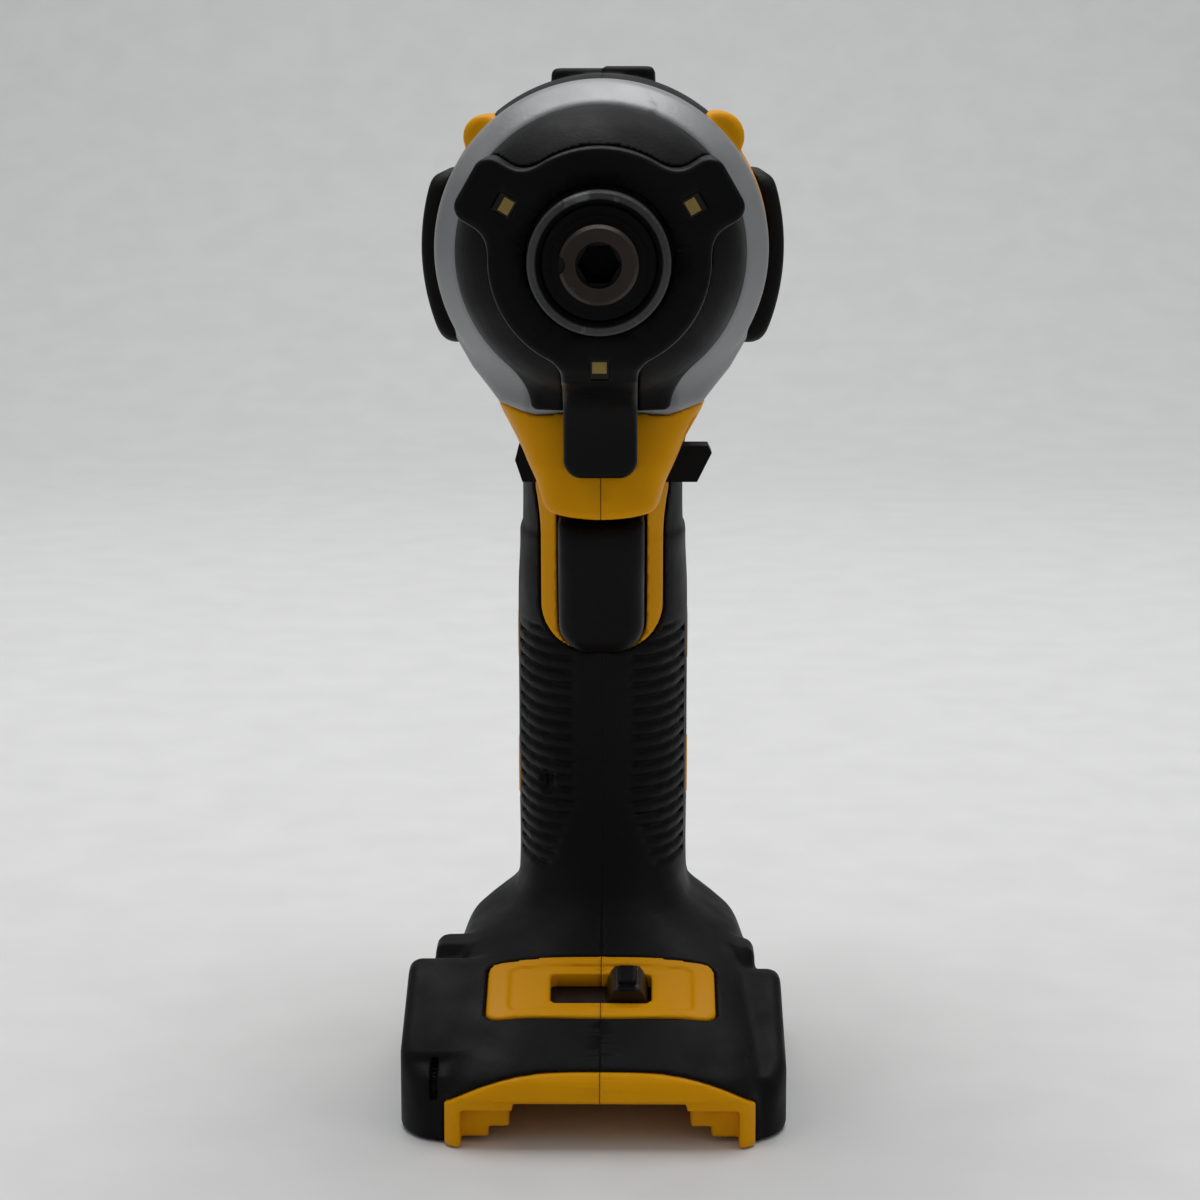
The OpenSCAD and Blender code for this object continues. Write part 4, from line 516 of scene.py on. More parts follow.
def body(x, y, z, step):
    f = loft(x, y, z, BODY, step)
    for side, reach, points in LUGS:
        f = join(f, lug(x, y, z, side, reach, points), LUG_BLEND)
    return np.maximum(f, z - BODY_TOP)


# The selector's slot on the foot's slope, and where its knob stands at rest
SLOT_Y, SLOT_Z, KNOB_X = -24.65, 24.78, 5.06
SLOPE = math.radians(20)


def at_slope(y, z):
    """Places along and above the foot's slope, counted from the middle of the selector's slot."""
    c, s = math.cos(SLOPE), math.sin(SLOPE)
    return c * (y - SLOT_Y) + s * (z - SLOT_Z), -s * (y - SLOT_Y) + c * (z - SLOT_Z)


# The hammer case: y and radius of its parts, and the flank under it as x and depth below the axis
CASE_NOSE = [(-49, 11.9), (-47.5, 13), (-36.6, 22.6), (-30.4, 25)]
CASE_STEP = [(-31, 25), (-25.4, 25)]
CASE_SHOULDER = [(-25.6, 27.4), (-23.4, 29.1), (-18.6, 31.5), (-16.5, 31.65), (-9.9, 31.65)]
SPIGOT_R, SPIGOT_FRONT, SPIGOT_BACK = 29.65, -12, 18.5
FLANK = [(-12.4, 30.4), (-19, 28.4), (-20, 27.2), (-24.2, 22), (-26.9, 16.7), (-12, 0),
         (12, 0), (26.9, 16.7), (24.2, 22), (20, 27.2), (19, 28.4), (12.4, 30.4)]
FLANK_FRONT, FLANK_BACK, FLANK_FLAT, FLANK_RAKE = -25.6, -10.2, 14.5, 0.8


def case(x, y, z):
    r = np.hypot(x, z - AXIS)
    f = turned(x, y, z, CASE_NOSE, 0.6)
    f = join(f, turned(x, y, z, CASE_STEP, 0.4))
    f = join(f, turned(x, y, z, CASE_SHOULDER, 0.9))
    f = join(f, np.maximum(np.maximum(r - SPIGOT_R, SPIGOT_FRONT - y), y - SPIGOT_BACK))
    flank = outline(x, AXIS - z, FLANK)
    front = FLANK_FRONT + FLANK_RAKE * np.maximum(np.abs(x) - FLANK_FLAT, 0) - y
    flank = meet(meet(flank, front, 1.5), y - FLANK_BACK, 0.8)
    return join(f, flank, 2.5)


# The rubber boot, and the skirt that goes down from it
BOOT = [(-48.2, 14.6), (-44.5, 19.8), (-40.5, 23.6), (-36, 26.1), (-32, 27.05), (-25.7, 27.1)]
SKIRT_HALF, SKIRT_FRONT, SKIRT_BACK, SKIRT_DROP = 12.9, -29.4, -25.7, 29


def boot(x, y, z):
    f = turned(x, y, z, BOOT, 2.0)
    low, high = (-SKIRT_HALF, SKIRT_FRONT, AXIS - SKIRT_DROP), (SKIRT_HALF, SKIRT_BACK, AXIS)
    return join(f, box(x, y, z, low, high, 1.2), 5.0)


# The lamp ring: its disc, the arms of the upper lamps, and the tongue with its front as height and y
LAMP_ANGLES = (30, 150, 270)
DISC_R, DISC_FRONT, DISC_BACK = 19.8, -53.5, -31
ARM_OUT, ARM_HALF_LONG, ARM_HALF_WIDE, ARM_CORNER = 15, 12.2, 6.2, 3.0
TONGUE_DROP, TONGUE_HALF_X, TONGUE_HALF_Z, TONGUE_CORNER, TONGUE_BACK = 27.5, 6.8, 13.5, 3.4, -28
TONGUE_FRONT = [(120, -35.9), (124, -36.3), (132, -37.4), (137, -39.2), (140.5, -43.5), (143.5, -52),
                (147, -53.5)]


def lamp(x, y, z):
    flat = np.hypot(x, z - AXIS) - DISC_R
    a = np.radians(LAMP_ANGLES[0])
    for side in (-1, 1):
        u = side * x * np.cos(a) + (z - AXIS) * np.sin(a)
        v = -side * x * np.sin(a) + (z - AXIS) * np.cos(a)
        flat = join(flat, plate(u - ARM_OUT, v, ARM_HALF_LONG, ARM_HALF_WIDE, ARM_CORNER), 3.5)
    f = meet(meet(flat, DISC_FRONT - y, 1.2), y - DISC_BACK, 0.5)
    tongue = plate(x, z - (AXIS - TONGUE_DROP), TONGUE_HALF_X, TONGUE_HALF_Z, TONGUE_CORNER)
    tongue = meet(meet(tongue, curve(z, TONGUE_FRONT) - y, 1.4), y - TONGUE_BACK, 0.4)
    return join(f, tongue, 2.5)


# Behind this y an inset also moves the head's outline forward, by a share of itself
TAIL_ROUND, TAIL_SHARE = 62, 0.7


def head(x, y, z, inset=0.0):
    """The round of the motor housing, or the same form inset all over."""
    points = [(a - TAIL_SHARE * inset if a > TAIL_ROUND else a, r - inset) for a, r in HEAD[1:]]
    return turned(x, y, z, [(HEAD[0][0] + inset, HEAD[0][1] - inset)] + points, 1.2)


# The trigger's guard, which flares upwards, and the arch over the battery bay
GUARD_Z, GUARD_HALF_X, GUARD_HALF_Z, GUARD_CORNER, GUARD_BACK = 106.4, 11.9, 20, 9.0, -2.5
FLARE, FLARE_FROM, FLARE_WAY = 0.16, 108, 14
ARCH_TOP, ARCH_DROP, ARCH_HALF, ARCH_POWER = 14, 5.6, 28.5, 3.2
BEZEL_HALF, BEZEL_BACK = 29.1, -45.8
# The selector's plate with its bowed edges, and the side stripes: middle and half height of each
SLOT_PLATE_HALF_X, SLOT_PLATE_HALF_V, SLOT_PLATE_CORNER, SLOT_PLATE_DEEP = 22, 8.9, 2.6, 9
BOW, BOW_HALF = 0.35, 12
STRIPES = [(85.5, 5.6), (58, 6.2)]
STRIPE_Y, STRIPE_HALF, STRIPE_CORNER, STRIPE_IN = 19.6, 4.5, 3.5, 12


def bare(x, y, z):
    """Where the yellow shell shows through the rubber: guard, bezel, selector plate and side stripes."""
    flare = 1 + FLARE * np.clip((z - FLARE_FROM) / FLARE_WAY, 0, 1) ** 2
    guard = plate(x / flare, z - GUARD_Z, GUARD_HALF_X, GUARD_HALF_Z, GUARD_CORNER)
    guard = np.maximum(guard, y - GUARD_BACK)
    arch = ARCH_TOP - ARCH_DROP * (np.abs(x) / ARCH_HALF) ** ARCH_POWER
    bezel = np.maximum(np.maximum(np.abs(x) - BEZEL_HALF, z - arch), y - BEZEL_BACK)
    v, w = at_slope(y, z)
    bow = BOW * np.clip(1 - (x / BOW_HALF) ** 2, 0, 1)
    slot = plate(x, v, SLOT_PLATE_HALF_X, SLOT_PLATE_HALF_V + bow, SLOT_PLATE_CORNER)
    slot = np.maximum(slot, np.abs(w) - SLOT_PLATE_DEEP)
    f = np.minimum(np.minimum(guard, bezel), slot)
    for middle, half in STRIPES:
        stripe = plate(y - STRIPE_Y, z - middle, STRIPE_HALF, half, STRIPE_CORNER)
        f = np.minimum(f, np.maximum(stripe, STRIPE_IN - np.abs(x)))
    return f


# Room for the trigger, whose top is raised along a part of it, for the direction button and the selector
PULL_ROOM_Z, PULL_ROOM_HALF_X, PULL_ROOM_HALF_Z, PULL_ROOM_CORNER, PULL_ROOM_BACK = 106.6, 8.75, 20.0, 5.0, 4
PULL_ROOM_TOP, PULL_ROOM_RAISED, PULL_ROOM_RAISED_HALF_Y = 115.2, 118, 12
BUTTON_ROOM = ((-30, -12.6, 119.7), (30, -4.4, 127.9))
BUTTON_ROOM_IN = 3
SLOT_HALF_X, SLOT_HALF_V, SLOT_CORNER, SLOT_DEEP = 9.75, 4.3, 0.8, 8
# The battery bay with its stepped rails, the steps at its mouth, and the rebate of the mouth
BAY = ((-26, -70, -20), (26, 31, 8.4))
UPPER_RAIL = ((17, -46, 3.0), (40, 60, 20))
LOWER_RAIL = ((20.9, -46, 1.0), (40, 60, 20))
MOUTH_STEP = ((16.2, -52, 7.2), (30, -46.3, 20))
REBATE = ((-26.7, -60, -20), (26.7, -49.1, 9.1))
HOOK_ROOM_R, HOOK_ROOM_IN = 3.1, 29


def cuts(x, y, z):
    """Room for the trigger, the direction button, the selector, the battery and the belt hook's inserts."""
    f = plate(x, z - PULL_ROOM_Z, PULL_ROOM_HALF_X, PULL_ROOM_HALF_Z, PULL_ROOM_CORNER)
    f = np.maximum(f, y - PULL_ROOM_BACK)
    raised = np.abs(y + PULL_ROOM_RAISED_HALF_Y) - PULL_ROOM_RAISED_HALF_Y
    f = np.maximum(f, np.minimum(z - PULL_ROOM_TOP, np.maximum(z - PULL_ROOM_RAISED, raised)))
    f = join(f, np.maximum(box(x, y, z, *BUTTON_ROOM, 1.0), BUTTON_ROOM_IN - np.abs(x)))
    v, w = at_slope(y, z)
    f = join(f, np.maximum(plate(x, v, SLOT_HALF_X, SLOT_HALF_V, SLOT_CORNER), np.abs(w) - SLOT_DEEP))
    rail = np.minimum(box(np.abs(x), y, z, *UPPER_RAIL, 0.2), box(np.abs(x), y, z, *LOWER_RAIL, 0.2))
    step = box(np.abs(x), y, z, *MOUTH_STEP, 0.3)
    bay = np.maximum(box(x, y, z, *BAY, 0.4), -np.minimum(rail, step))
    hook = np.maximum(np.hypot(y - HOOK_Y, z - HOOK_Z) - HOOK_ROOM_R, HOOK_ROOM_IN - np.abs(x))
    return join(join(f, bay), np.minimum(box(x, y, z, *REBATE, 0.6), hook))


# Bores of the screws: wide for the heads on the right, and ending in the left half
SCREW_HEAD_R, SCREW_HEAD_X, SCREW_R, SCREW_END_X = 3.0, 8, 1.55, -9


def screw_cuts(x, y, z):
    f = np.inf
    for a, b in SCREWS:
        r = np.hypot(y - a, z - b)
        bore = np.where(x > SCREW_HEAD_X, r - SCREW_HEAD_R, r - SCREW_R)
        f = np.minimum(f, np.maximum(bore, SCREW_END_X - x))
    return f


# Cooling slots: two fans of slots on the head, angles in degrees, and a ring of slots in the tail
VENT_FANS, VENT_COUNT, VENT_APART = (48, 132), 5, 7
VENT_Y, VENT_HALF_WIDE, VENT_HALF_LONG, VENT_CORNER, VENT_IN_R = 32, 1.0, 6.1, 0.9, 20
TAIL_SLOTS, TAIL_SLOT_R, TAIL_SLOT_HALF_WIDE, TAIL_SLOT_HALF_LONG = 14, 12.4, 1.1, 3.6
TAIL_SLOT_CORNER, TAIL_SLOT_Y = 1.0, 60


def vents(x, y, z):
    r = np.hypot(x, z - AXIS)
    angle = np.degrees(np.arctan2(z - AXIS, x))
    f = np.inf
    for middle in VENT_FANS:
        for i in range(VENT_COUNT):
            off = np.radians(angle % 180 - middle - VENT_APART * (i - VENT_COUNT // 2)) * r
            f = np.minimum(f, plate(off, y - VENT_Y, VENT_HALF_WIDE, VENT_HALF_LONG, VENT_CORNER))
    f = np.maximum(f, VENT_IN_R - r)
    half_apart = 360 / (2 * TAIL_SLOTS)
    off = np.radians(np.abs((angle + half_apart) % (360 / TAIL_SLOTS) - half_apart)) * r
    tail = plate(off, r - TAIL_SLOT_R, TAIL_SLOT_HALF_WIDE, TAIL_SLOT_HALF_LONG, TAIL_SLOT_CORNER)
    return np.minimum(f, np.maximum(tail, TAIL_SLOT_Y - y))


# Side bumpers on a round of their own, and the bumper on top, which is higher on the right
EAR_R, EAR_IN_X, EAR_DROP, EAR_FROM_X = 44, 8.4, 1, 20
EAR_Y, EAR_LOWER, EAR_HALF_Y, EAR_HALF_Z, EAR_CORNER = 29.2, 3.15, 22, 16.7, 4.0
PAD_HALF_X, PAD_Y, PAD_HALF_Y, PAD_TOP_RIGHT, PAD_TOP_LEFT, PAD_FROM_Z = 10.3, 39.2, 20, 34.0, 33.6, 20


def bumpers(x, y, z):
    ear = np.hypot(np.abs(x) + EAR_IN_X, z - AXIS + EAR_DROP) - EAR_R
    side_view = plate(y - EAR_Y, z - (AXIS - EAR_LOWER), EAR_HALF_Y, EAR_HALF_Z, EAR_CORNER)
    ear = np.maximum(meet(ear, side_view, 2.4), EAR_FROM_X - np.abs(x))
    top = np.where(x > 0, PAD_TOP_RIGHT, PAD_TOP_LEFT)
    pad = meet(np.abs(x) - PAD_HALF_X, np.abs(y - PAD_Y) - PAD_HALF_Y, 2.0)
    pad = np.maximum(meet(pad, z - AXIS - top, 1.6), AXIS + PAD_FROM_Z - z)
    return np.minimum(ear, pad)


# Ribs of the grip: their spacing, width and depth, how they rise outwards, and where they start and end
RIB_APART, RIB_FROM_Z, RIB_HALF, RIB_DEPTH = 2.75, 42.5, 0.62, 0.85
RIB_OUT_X, RIB_LIFT, RIB_RISE = 17.0, 0.6, 1.7
RIB_IN_X, RIB_IN_MORE, RIB_IN_FADE, RIB_END_X, RIB_END_FADE = 5, 6, 1.2, 16.3, 0.5
RIB_NARROW_Z, RIB_NARROW_WAY = 38, 16
RIB_LOW_Z, RIB_TOP_Z, RIB_TOP_SLOPE, RIB_TOP_X, RIB_FADE = 39.5, 91, 0.8, 12, 0.8


def grooves(x, y, z):
    """Curved ribs of the grip: depth at each place."""
    out = np.clip(np.abs(x) / RIB_OUT_X, 0, 1)
    lift = RIB_LIFT + RIB_RISE * out ** 3
    phase = (z - lift - RIB_FROM_Z) / RIB_APART
    off = np.abs(phase - np.round(phase)) * RIB_APART
    depth = np.clip(1 - (off / RIB_HALF) ** 2, 0, 1)
    low = np.clip((z - RIB_NARROW_Z) / RIB_NARROW_WAY, 0, 1)
    start = RIB_IN_X + RIB_IN_MORE * (1 - low)
    depth = depth * np.clip((np.abs(x) - start) / RIB_IN_FADE, 0, 1)
    depth = depth * np.clip((RIB_END_X - np.abs(x)) / RIB_END_FADE, 0, 1)
    top = RIB_TOP_Z - RIB_TOP_SLOPE * np.clip(RIB_TOP_X - np.abs(x), 0, RIB_TOP_X)
    window = np.clip((z - RIB_LOW_Z) / RIB_FADE, 0, 1) * np.clip((top - z) / RIB_FADE, 0, 1)
    return RIB_DEPTH * depth * window


# Grid of each half of the housing, and the ground and gaps that its forms keep
HALF_GRIDS = {-1: ((-39.0, -52.0, -1.2), (0.6, 69.0, 200.4)), 1: ((-0.6, -52.0, -1.2), (38.4, 69.0, 200.4))}
GROUND, SEAM, NOSE_GAP, BUMPER_GAP = 0.02, 0.15, 0.15, 0.02
NECK_FLOOR, NECK_BOW, NECK_TOP = 115.3, 0.014, 150
# The rubber: its upper end on the handle, the tail cap, and the crown between two slanting planes
RUBBER_TOP, CAP_FRONT, CAP_HOLE_R = 137, 55.6, 17.7
CROWN_X, CROWN_Z, CROWN_FRONT, CROWN_GAP = 0.766, 0.643, -9.9, 0.05
CROWN_IN, CROWN_HALF, CROWN_DROP, CROWN_R = 0.45, 0.75, 1.3, 29
VENT_GUARD = 0.8
# A groove and a nick in the rubber, as the photo shows them: middles and half sizes
GROOVE_X, GROOVE_Z, GROOVE_HALF_X, GROOVE_HALF_Z, GROOVE_CORNER, GROOVE_BACK = -31.2, 11, 0.7, 3.4, 0.5, -38
NICK, NICK_HALF, MARK_DEPTH = (-11.4, 0.9, 58), (2.1, 1.9, 2.9), 1.3
# Room inside: foot and handle, neck, and two bores in the head. Below them the yellow places' height
# over the rubber, the band that joins the handle to the head, and the ends of the head's outer skin
FOOT_ROOM_Z, NECK_ROOM_Z = 10.8, 118
FRONT_BORE, FRONT_BORE_FROM, FRONT_BORE_END, REAR_BORE, REAR_BORE_END = 29.85, -20, 24.3, 27.8, 62.6
SHELL_PROUD, BAND_Z, BAND_HALF = 0.1, 142.2, 5
SHELL_END, TAIL_FROM = 55.4, 50
# Studs beside the silver case, screw bosses, and the sunk panel round the selector's slot
STUD_ANGLE, STUD_OUT, STUD_R_RIGHT, STUD_R_LEFT, STUD_Y, STUD_HALF_Y = 43, 30.3, 4.9, 4.2, 1.4, 10
BOSS_R = 4.2
PANEL_HALF_X, PANEL_HALF_V, PANEL_CORNER, PANEL_DEEP, PANEL_SUNK = 17.7, 6.6, 1.6, 6, 0.4


def shell_half(side, step):
    """Fields of the yellow shell and the black rubber on one half's grid, and the grid's low corner."""
    low, high = HALF_GRIDS[side]
    x, y, z = grid(low, high, step)
    r = np.hypot(x, z - AXIS)
    sides = body(x, y, z, step)
    whole = meet(sides, GROUND - z, 1.0)
    neck = meet(loft(x, y, z, NECK, step), NECK_FLOOR + NECK_BOW * x * x - z, 1.4)
    neck = np.maximum(neck, z - NECK_TOP)
    skull = head(x, y, z)
    inner_skull = head(x, y, z, SKIN)
    nose = np.minimum(np.minimum(case(x, y, z), boot(x, y, z)), lamp(x, y, z))
    shown = bare(x, y, z)
    crown = np.maximum(y - CAP_FRONT, CROWN_FRONT - y)
    crown = np.maximum(CROWN_X * np.abs(x) - CROWN_Z * (z - AXIS), crown)
    slots = np.maximum(vents(x, y, z), VENT_GUARD - sides)
    openings = np.minimum(np.minimum(cuts(x, y, z), slots), screw_cuts(x, y, z))

    black = np.maximum(whole + grooves(x, y, z), -(sides + SKIN))
    black = np.maximum(black, z - RUBBER_TOP)
    black = meet(black, SEAM - np.minimum(np.minimum(shown, neck), skull), 0.7)
    cap = np.maximum(np.maximum(skull, -inner_skull), CAP_HOLE_R - r)
    black = np.minimum(black, np.maximum(cap, CAP_FRONT - y))
    black = np.minimum(black, np.maximum(bumpers(x, y, z), BUMPER_GAP - skull))
    top = np.maximum(np.abs(skull + CROWN_IN) - CROWN_HALF, crown + CROWN_GAP)
    black = np.minimum(black, np.maximum(top, CROWN_R - r))
    black = np.maximum(black, -openings)
    groove = plate(x - GROOVE_X, z - GROOVE_Z, GROOVE_HALF_X, GROOVE_HALF_Z, GROOVE_CORNER)
    groove = np.maximum(groove, y - GROOVE_BACK)
    nick = sum(((p - middle) / half) ** 2 for p, middle, half in zip((x, y, z), NICK, NICK_HALF))
    nick = (np.sqrt(nick) - 1) * NICK_HALF[1]
    black = np.maximum(black, -np.maximum(np.minimum(groove, nick), -(sides + MARK_DEPTH)))

    hollow = np.maximum(sides + SKIN + WALL, FOOT_ROOM_Z - z)
    hollow = np.minimum(hollow, np.maximum(neck + WALL, NECK_ROOM_Z - z))
    front_bore = np.maximum(r - FRONT_BORE, np.maximum(y - FRONT_BORE_END, FRONT_BORE_FROM - y))
    hollow = np.minimum(hollow, front_bore)
    hollow = np.minimum(hollow, np.maximum(r - REAR_BORE, y - REAR_BORE_END))
    form = np.minimum(np.maximum(sides + SKIN, GROUND - z), np.maximum(whole - SHELL_PROUD, shown))
    form = np.minimum(form, np.maximum(whole, np.abs(z - BAND_Z) - BAND_HALF))
    form = join(form, neck, 0.8)
    shell = np.maximum(skull, np.minimum(skull + CROWN_DROP, -crown))
    shell = np.minimum(np.maximum(shell, y - SHELL_END), np.maximum(inner_skull, TAIL_FROM - y))
    form = join(form, shell, 2.0)
    a = np.radians(STUD_ANGLE)
    stud = np.hypot(np.abs(x) - STUD_OUT * np.cos(a), z - AXIS - STUD_OUT * np.sin(a))
    stud = stud - np.where(x > 0, STUD_R_RIGHT, STUD_R_LEFT)
    form = join(form, meet(stud, np.abs(y - STUD_Y) - STUD_HALF_Y, 2.0), 1.0)
    boss = np.inf
    for p, q in SCREWS:
        boss = np.minimum(boss, np.hypot(y - p, z - q) - BOSS_R)
    boss = np.maximum(boss, np.where(y < FRONT_BORE_END, FRONT_BORE, REAR_BORE) - r)
    full = np.minimum(np.maximum(form, -hollow), np.maximum(boss, form))
    full = np.maximum(full, -openings)
    v, w = at_slope(y, z)
    panel = np.maximum(plate(x, v, PANEL_HALF_X, PANEL_HALF_V, PANEL_CORNER), np.abs(w) - PANEL_DEEP)
    full = np.maximum(full, -np.maximum(panel, -(whole + PANEL_SUNK)))
    full = np.maximum(full, NOSE_GAP - nose)
    return (full, black), low


# The halves stop short of the parting plane by these gaps
SHELL_GAP, GRIP_GAP = 0.07, 0.01
for side, label in ((-1, "left"), (1, "right")):
    (shell, grip), low = shell_half(side, STEP)
    piece = skin(label + "_shell_look", shell, low, STEP, keep=0.38, side=side, parting=SHELL_GAP)
    stand_in(piece, "housing", label + "_housing", yellow)
    piece = skin(label + "_grip_look", grip, low, STEP, keep=0.54, side=side, parting=GRIP_GAP)
    stand_in(piece, "housing", label + "_grip", rubber)

# The nose: bores of the case, and gaps between case, boot and lamp ring
CASE_ROOM_R, CASE_ROOM_FRONT, CASE_WIDE_R, CASE_WIDE_FRONT, CASE_BORE_R = 22.6, -28, 27.05, 4.3, 9.61
BOOT_BORE_R, BOOT_GAP, BOOT_LAMP_GAP = 13.4, 0.1, 0.12
LAMP_BORE_R, LAMP_GAP, LAMP_SUNK = 13.2, 0.1, 1.0
WINDOW_OUT, WINDOW_HALF, WINDOW_CORNER, WINDOW_BACK = 19.2, 1.75, 0.3, -50

low, high = (-33, -55, 122), (33, 21, 198)
x, y, z = grid(low, high, NOSE_STEP)
r = np.hypot(x, z - AXIS)
case_f, boot_f, lamp_f = case(x, y, z), boot(x, y, z), lamp(x, y, z)
room = np.minimum(np.maximum(r - CASE_ROOM_R, CASE_ROOM_FRONT - y),
                  np.maximum(r - CASE_WIDE_R, CASE_WIDE_FRONT - y))
case_look = np.maximum(case_f, -np.minimum(room, r - CASE_BORE_R))
boot_look = np.maximum(np.maximum(boot_f, BOOT_GAP - case_f), BOOT_BORE_R - r)
boot_look = np.maximum(boot_look, BOOT_LAMP_GAP - lamp_f)
lamp_look = np.maximum(np.maximum(lamp_f, LAMP_BORE_R - r), LAMP_GAP - boot_f - LAMP_SUNK)
for a in LAMP_ANGLES:
    c, s = math.cos(math.radians(a)), math.sin(math.radians(a))
    u, v = x * c + (z - AXIS) * s - WINDOW_OUT, -x * s + (z - AXIS) * c
    window = plate(u, v, WINDOW_HALF, WINDOW_HALF, WINDOW_CORNER)
    lamp_look = np.maximum(lamp_look, -np.maximum(window, y - WINDOW_BACK))
for f, name, node, slot, material in (
        (case_look, "case_look", "hammer_case", "case_aluminium", aluminium),
        (boot_look, "boot_look", "nose_boot", "black_rubber", rubber),
        (lamp_look, "lamp_ring_look", "lamp_ring", "black_plastic", plastic)):
    stand_in(skin(name, f, low, NOSE_STEP, keep=0.4), "housing", node, material)

# Light chips: one small block in each window
CHIP_OUT, CHIP_HALF_U, CHIP_HALF_V, CHIP_FRONT, CHIP_BACK = 18.9, 1, 1.3, -53.25, -50.6
CHIP_CORNERS = ((-1, -1), (1, -1), (1, 1), (-1, 1))
CHIP_SIDES = ((0, 1, 2, 3), (7, 6, 5, 4), (0, 4, 5, 1), (1, 5, 6, 2), (2, 6, 7, 3), (3, 7, 4, 0))
chip_places, chip_faces = [], []
for a in LAMP_ANGLES:
    c, s = math.cos(math.radians(a)), math.sin(math.radians(a))
    first = len(chip_places)
    for depth in (CHIP_FRONT, CHIP_BACK):
        for i, j in CHIP_CORNERS:
            u, v = CHIP_OUT + i * CHIP_HALF_U, j * CHIP_HALF_V
            chip_places.append((u * c - v * s, depth, AXIS + u * s + v * c))
    for ring in CHIP_SIDES:
        chip_faces.append([first + i for i in ring])
chips = mesh_object("lamp_chips_look", np.array(chip_places) * MM, np.array(chip_faces))
chips.data.polygons.foreach_set("use_smooth", np.zeros(len(chips.data.polygons), bool))
stand_in(chips, "housing", "lamp_chips", finishes["lamp_chip"])

# The trigger: height and y of its front, its rounded and square ends, and the plunger into the switch
PULL_FRONT = [(86, -15.6), (89, -16.9), (94, -18.6), (100, -21), (106, -23.4), (111, -24.2), (115, -23.6)]
PULL_HALF_X, PULL_BACK, PULL_BOW = 8.2, -9.5, 0.015
PULL_ROUND_Z, PULL_ROUND_HALF_Z, PULL_ROUND_CORNER = 100.7, 13.35, 6.0
PULL_SQUARE_Z, PULL_SQUARE_HALF_Z, PULL_SQUARE_CORNER = 105.5, 8.55, 0.8
PLUNGER_Z, PLUNGER_R, PLUNGER_FRONT, PLUNGER_BACK = 100.71, 3, -12, 6.48

low, high = (-10, -27, 85), (10, 8, 116)
x, y, z = grid(low, high, NOSE_STEP)
pull = np.minimum(plate(x, z - PULL_ROUND_Z, PULL_HALF_X, PULL_ROUND_HALF_Z, PULL_ROUND_CORNER),
                  plate(x, z - PULL_SQUARE_Z, PULL_HALF_X, PULL_SQUARE_HALF_Z, PULL_SQUARE_CORNER))
pull = meet(pull, curve(z, PULL_FRONT) - y + PULL_BOW * x * x, 3.0)
pull = meet(pull, y - PULL_BACK, 0.6)
plunger = np.maximum(PLUNGER_FRONT - y, y - PLUNGER_BACK)
pull = np.minimum(pull, np.maximum(np.hypot(x, z - PLUNGER_Z) - PLUNGER_R, plunger))
pull_piece = skin("trigger_look", pull, low, NOSE_STEP, keep=0.5)
stand_in(pull_piece, "trigger", "trigger", plastic)

# The speed selector: a slide under the slot, a knob in it, and a peg on the knob
SLIDE = ((-15.6, -5.33, -6.2), (12.87, 5.33, -4.6))
PEG = ((-1.7, -2.6, -1), (1.7, 2.6, 2.1))
KNOB_SHAPE = [(-4.8, 4.2), (-2, 3.8), (0, 3), (1, 2.2)]
KNOB_HALF_V, KNOB_W, KNOB_HALF_W = 3.9, -1.9, 2.9
PEG_FROM_W, PEG_FOOT_W, PEG_FOOT_HALF = 1.05, 0.5, 1.6

low, high = (-12, -33, 14), (19, -15, 33)
x, y, z = grid(low, high, SELECTOR_STEP)
v, w = at_slope(y, z)
knob = np.maximum(np.abs(v) - KNOB_HALF_V, np.abs(w - KNOB_W) - KNOB_HALF_W)
knob = np.maximum(np.abs(x - KNOB_X) - curve(w, KNOB_SHAPE), knob)
slide = box(x - KNOB_X, v, w, *SLIDE, 0.2)
peg = box(x - KNOB_X, v, w, *PEG, 0.35)
selector = skin("selector_look", np.minimum(np.minimum(slide, knob), peg), low, SELECTOR_STEP, keep=0.6)
stand_in(selector, "speed_selector", "speed_selector", finishes["smoky_plastic"])
selector.data.materials.append(plastic)
for face in selector.data.polygons:
    middle = np.array(face.center) / MM
    above = at_slope(middle[1], middle[2])[1]
    if above > PEG_FROM_W or (abs(middle[0] - KNOB_X) < PEG_FOOT_HALF and above > PEG_FOOT_W):
        face.material_index = 1


# Edges of a turned piece that bend by more degrees than this look sharp
SHARP = 35


def lathe(name, points, count=128):
    """A closed outline of (radius, y) points turned about the axis."""
    angles = np.linspace(0, 2 * math.pi, count, endpoint=False)
    rows = [(r * math.cos(a), b, AXIS + r * math.sin(a)) for a in angles for r, b in points]
    n = len(points)
    i, j = np.meshgrid(np.arange(count), np.arange(n), indexing="ij")
    k, m = (i + 1) % count, (j + 1) % n
    quads = np.stack([i * n + j, i * n + m, k * n + m, k * n + j], -1).reshape(-1, 4)
    piece = mesh_object(name, np.array(rows) * MM, quads)
    piece.data.set_sharp_from_angle(angle=math.radians(SHARP))
    return piece


# The bit collar: radius and y of its outline, and where its worn rim begins
COLLAR = [(10.3, -57.05), (10.3, -61.4), (11, -62.6), (11.2, -63), (12.1, -63), (12.5, -62.6), (12.5, -51),
          (12, -50.5), (10.3, -50.5), (10.3, -53.05), (6.97, -53.05), (6.97, -57.05)]
RIM_Y, RIM_R = -62.4, 11.05

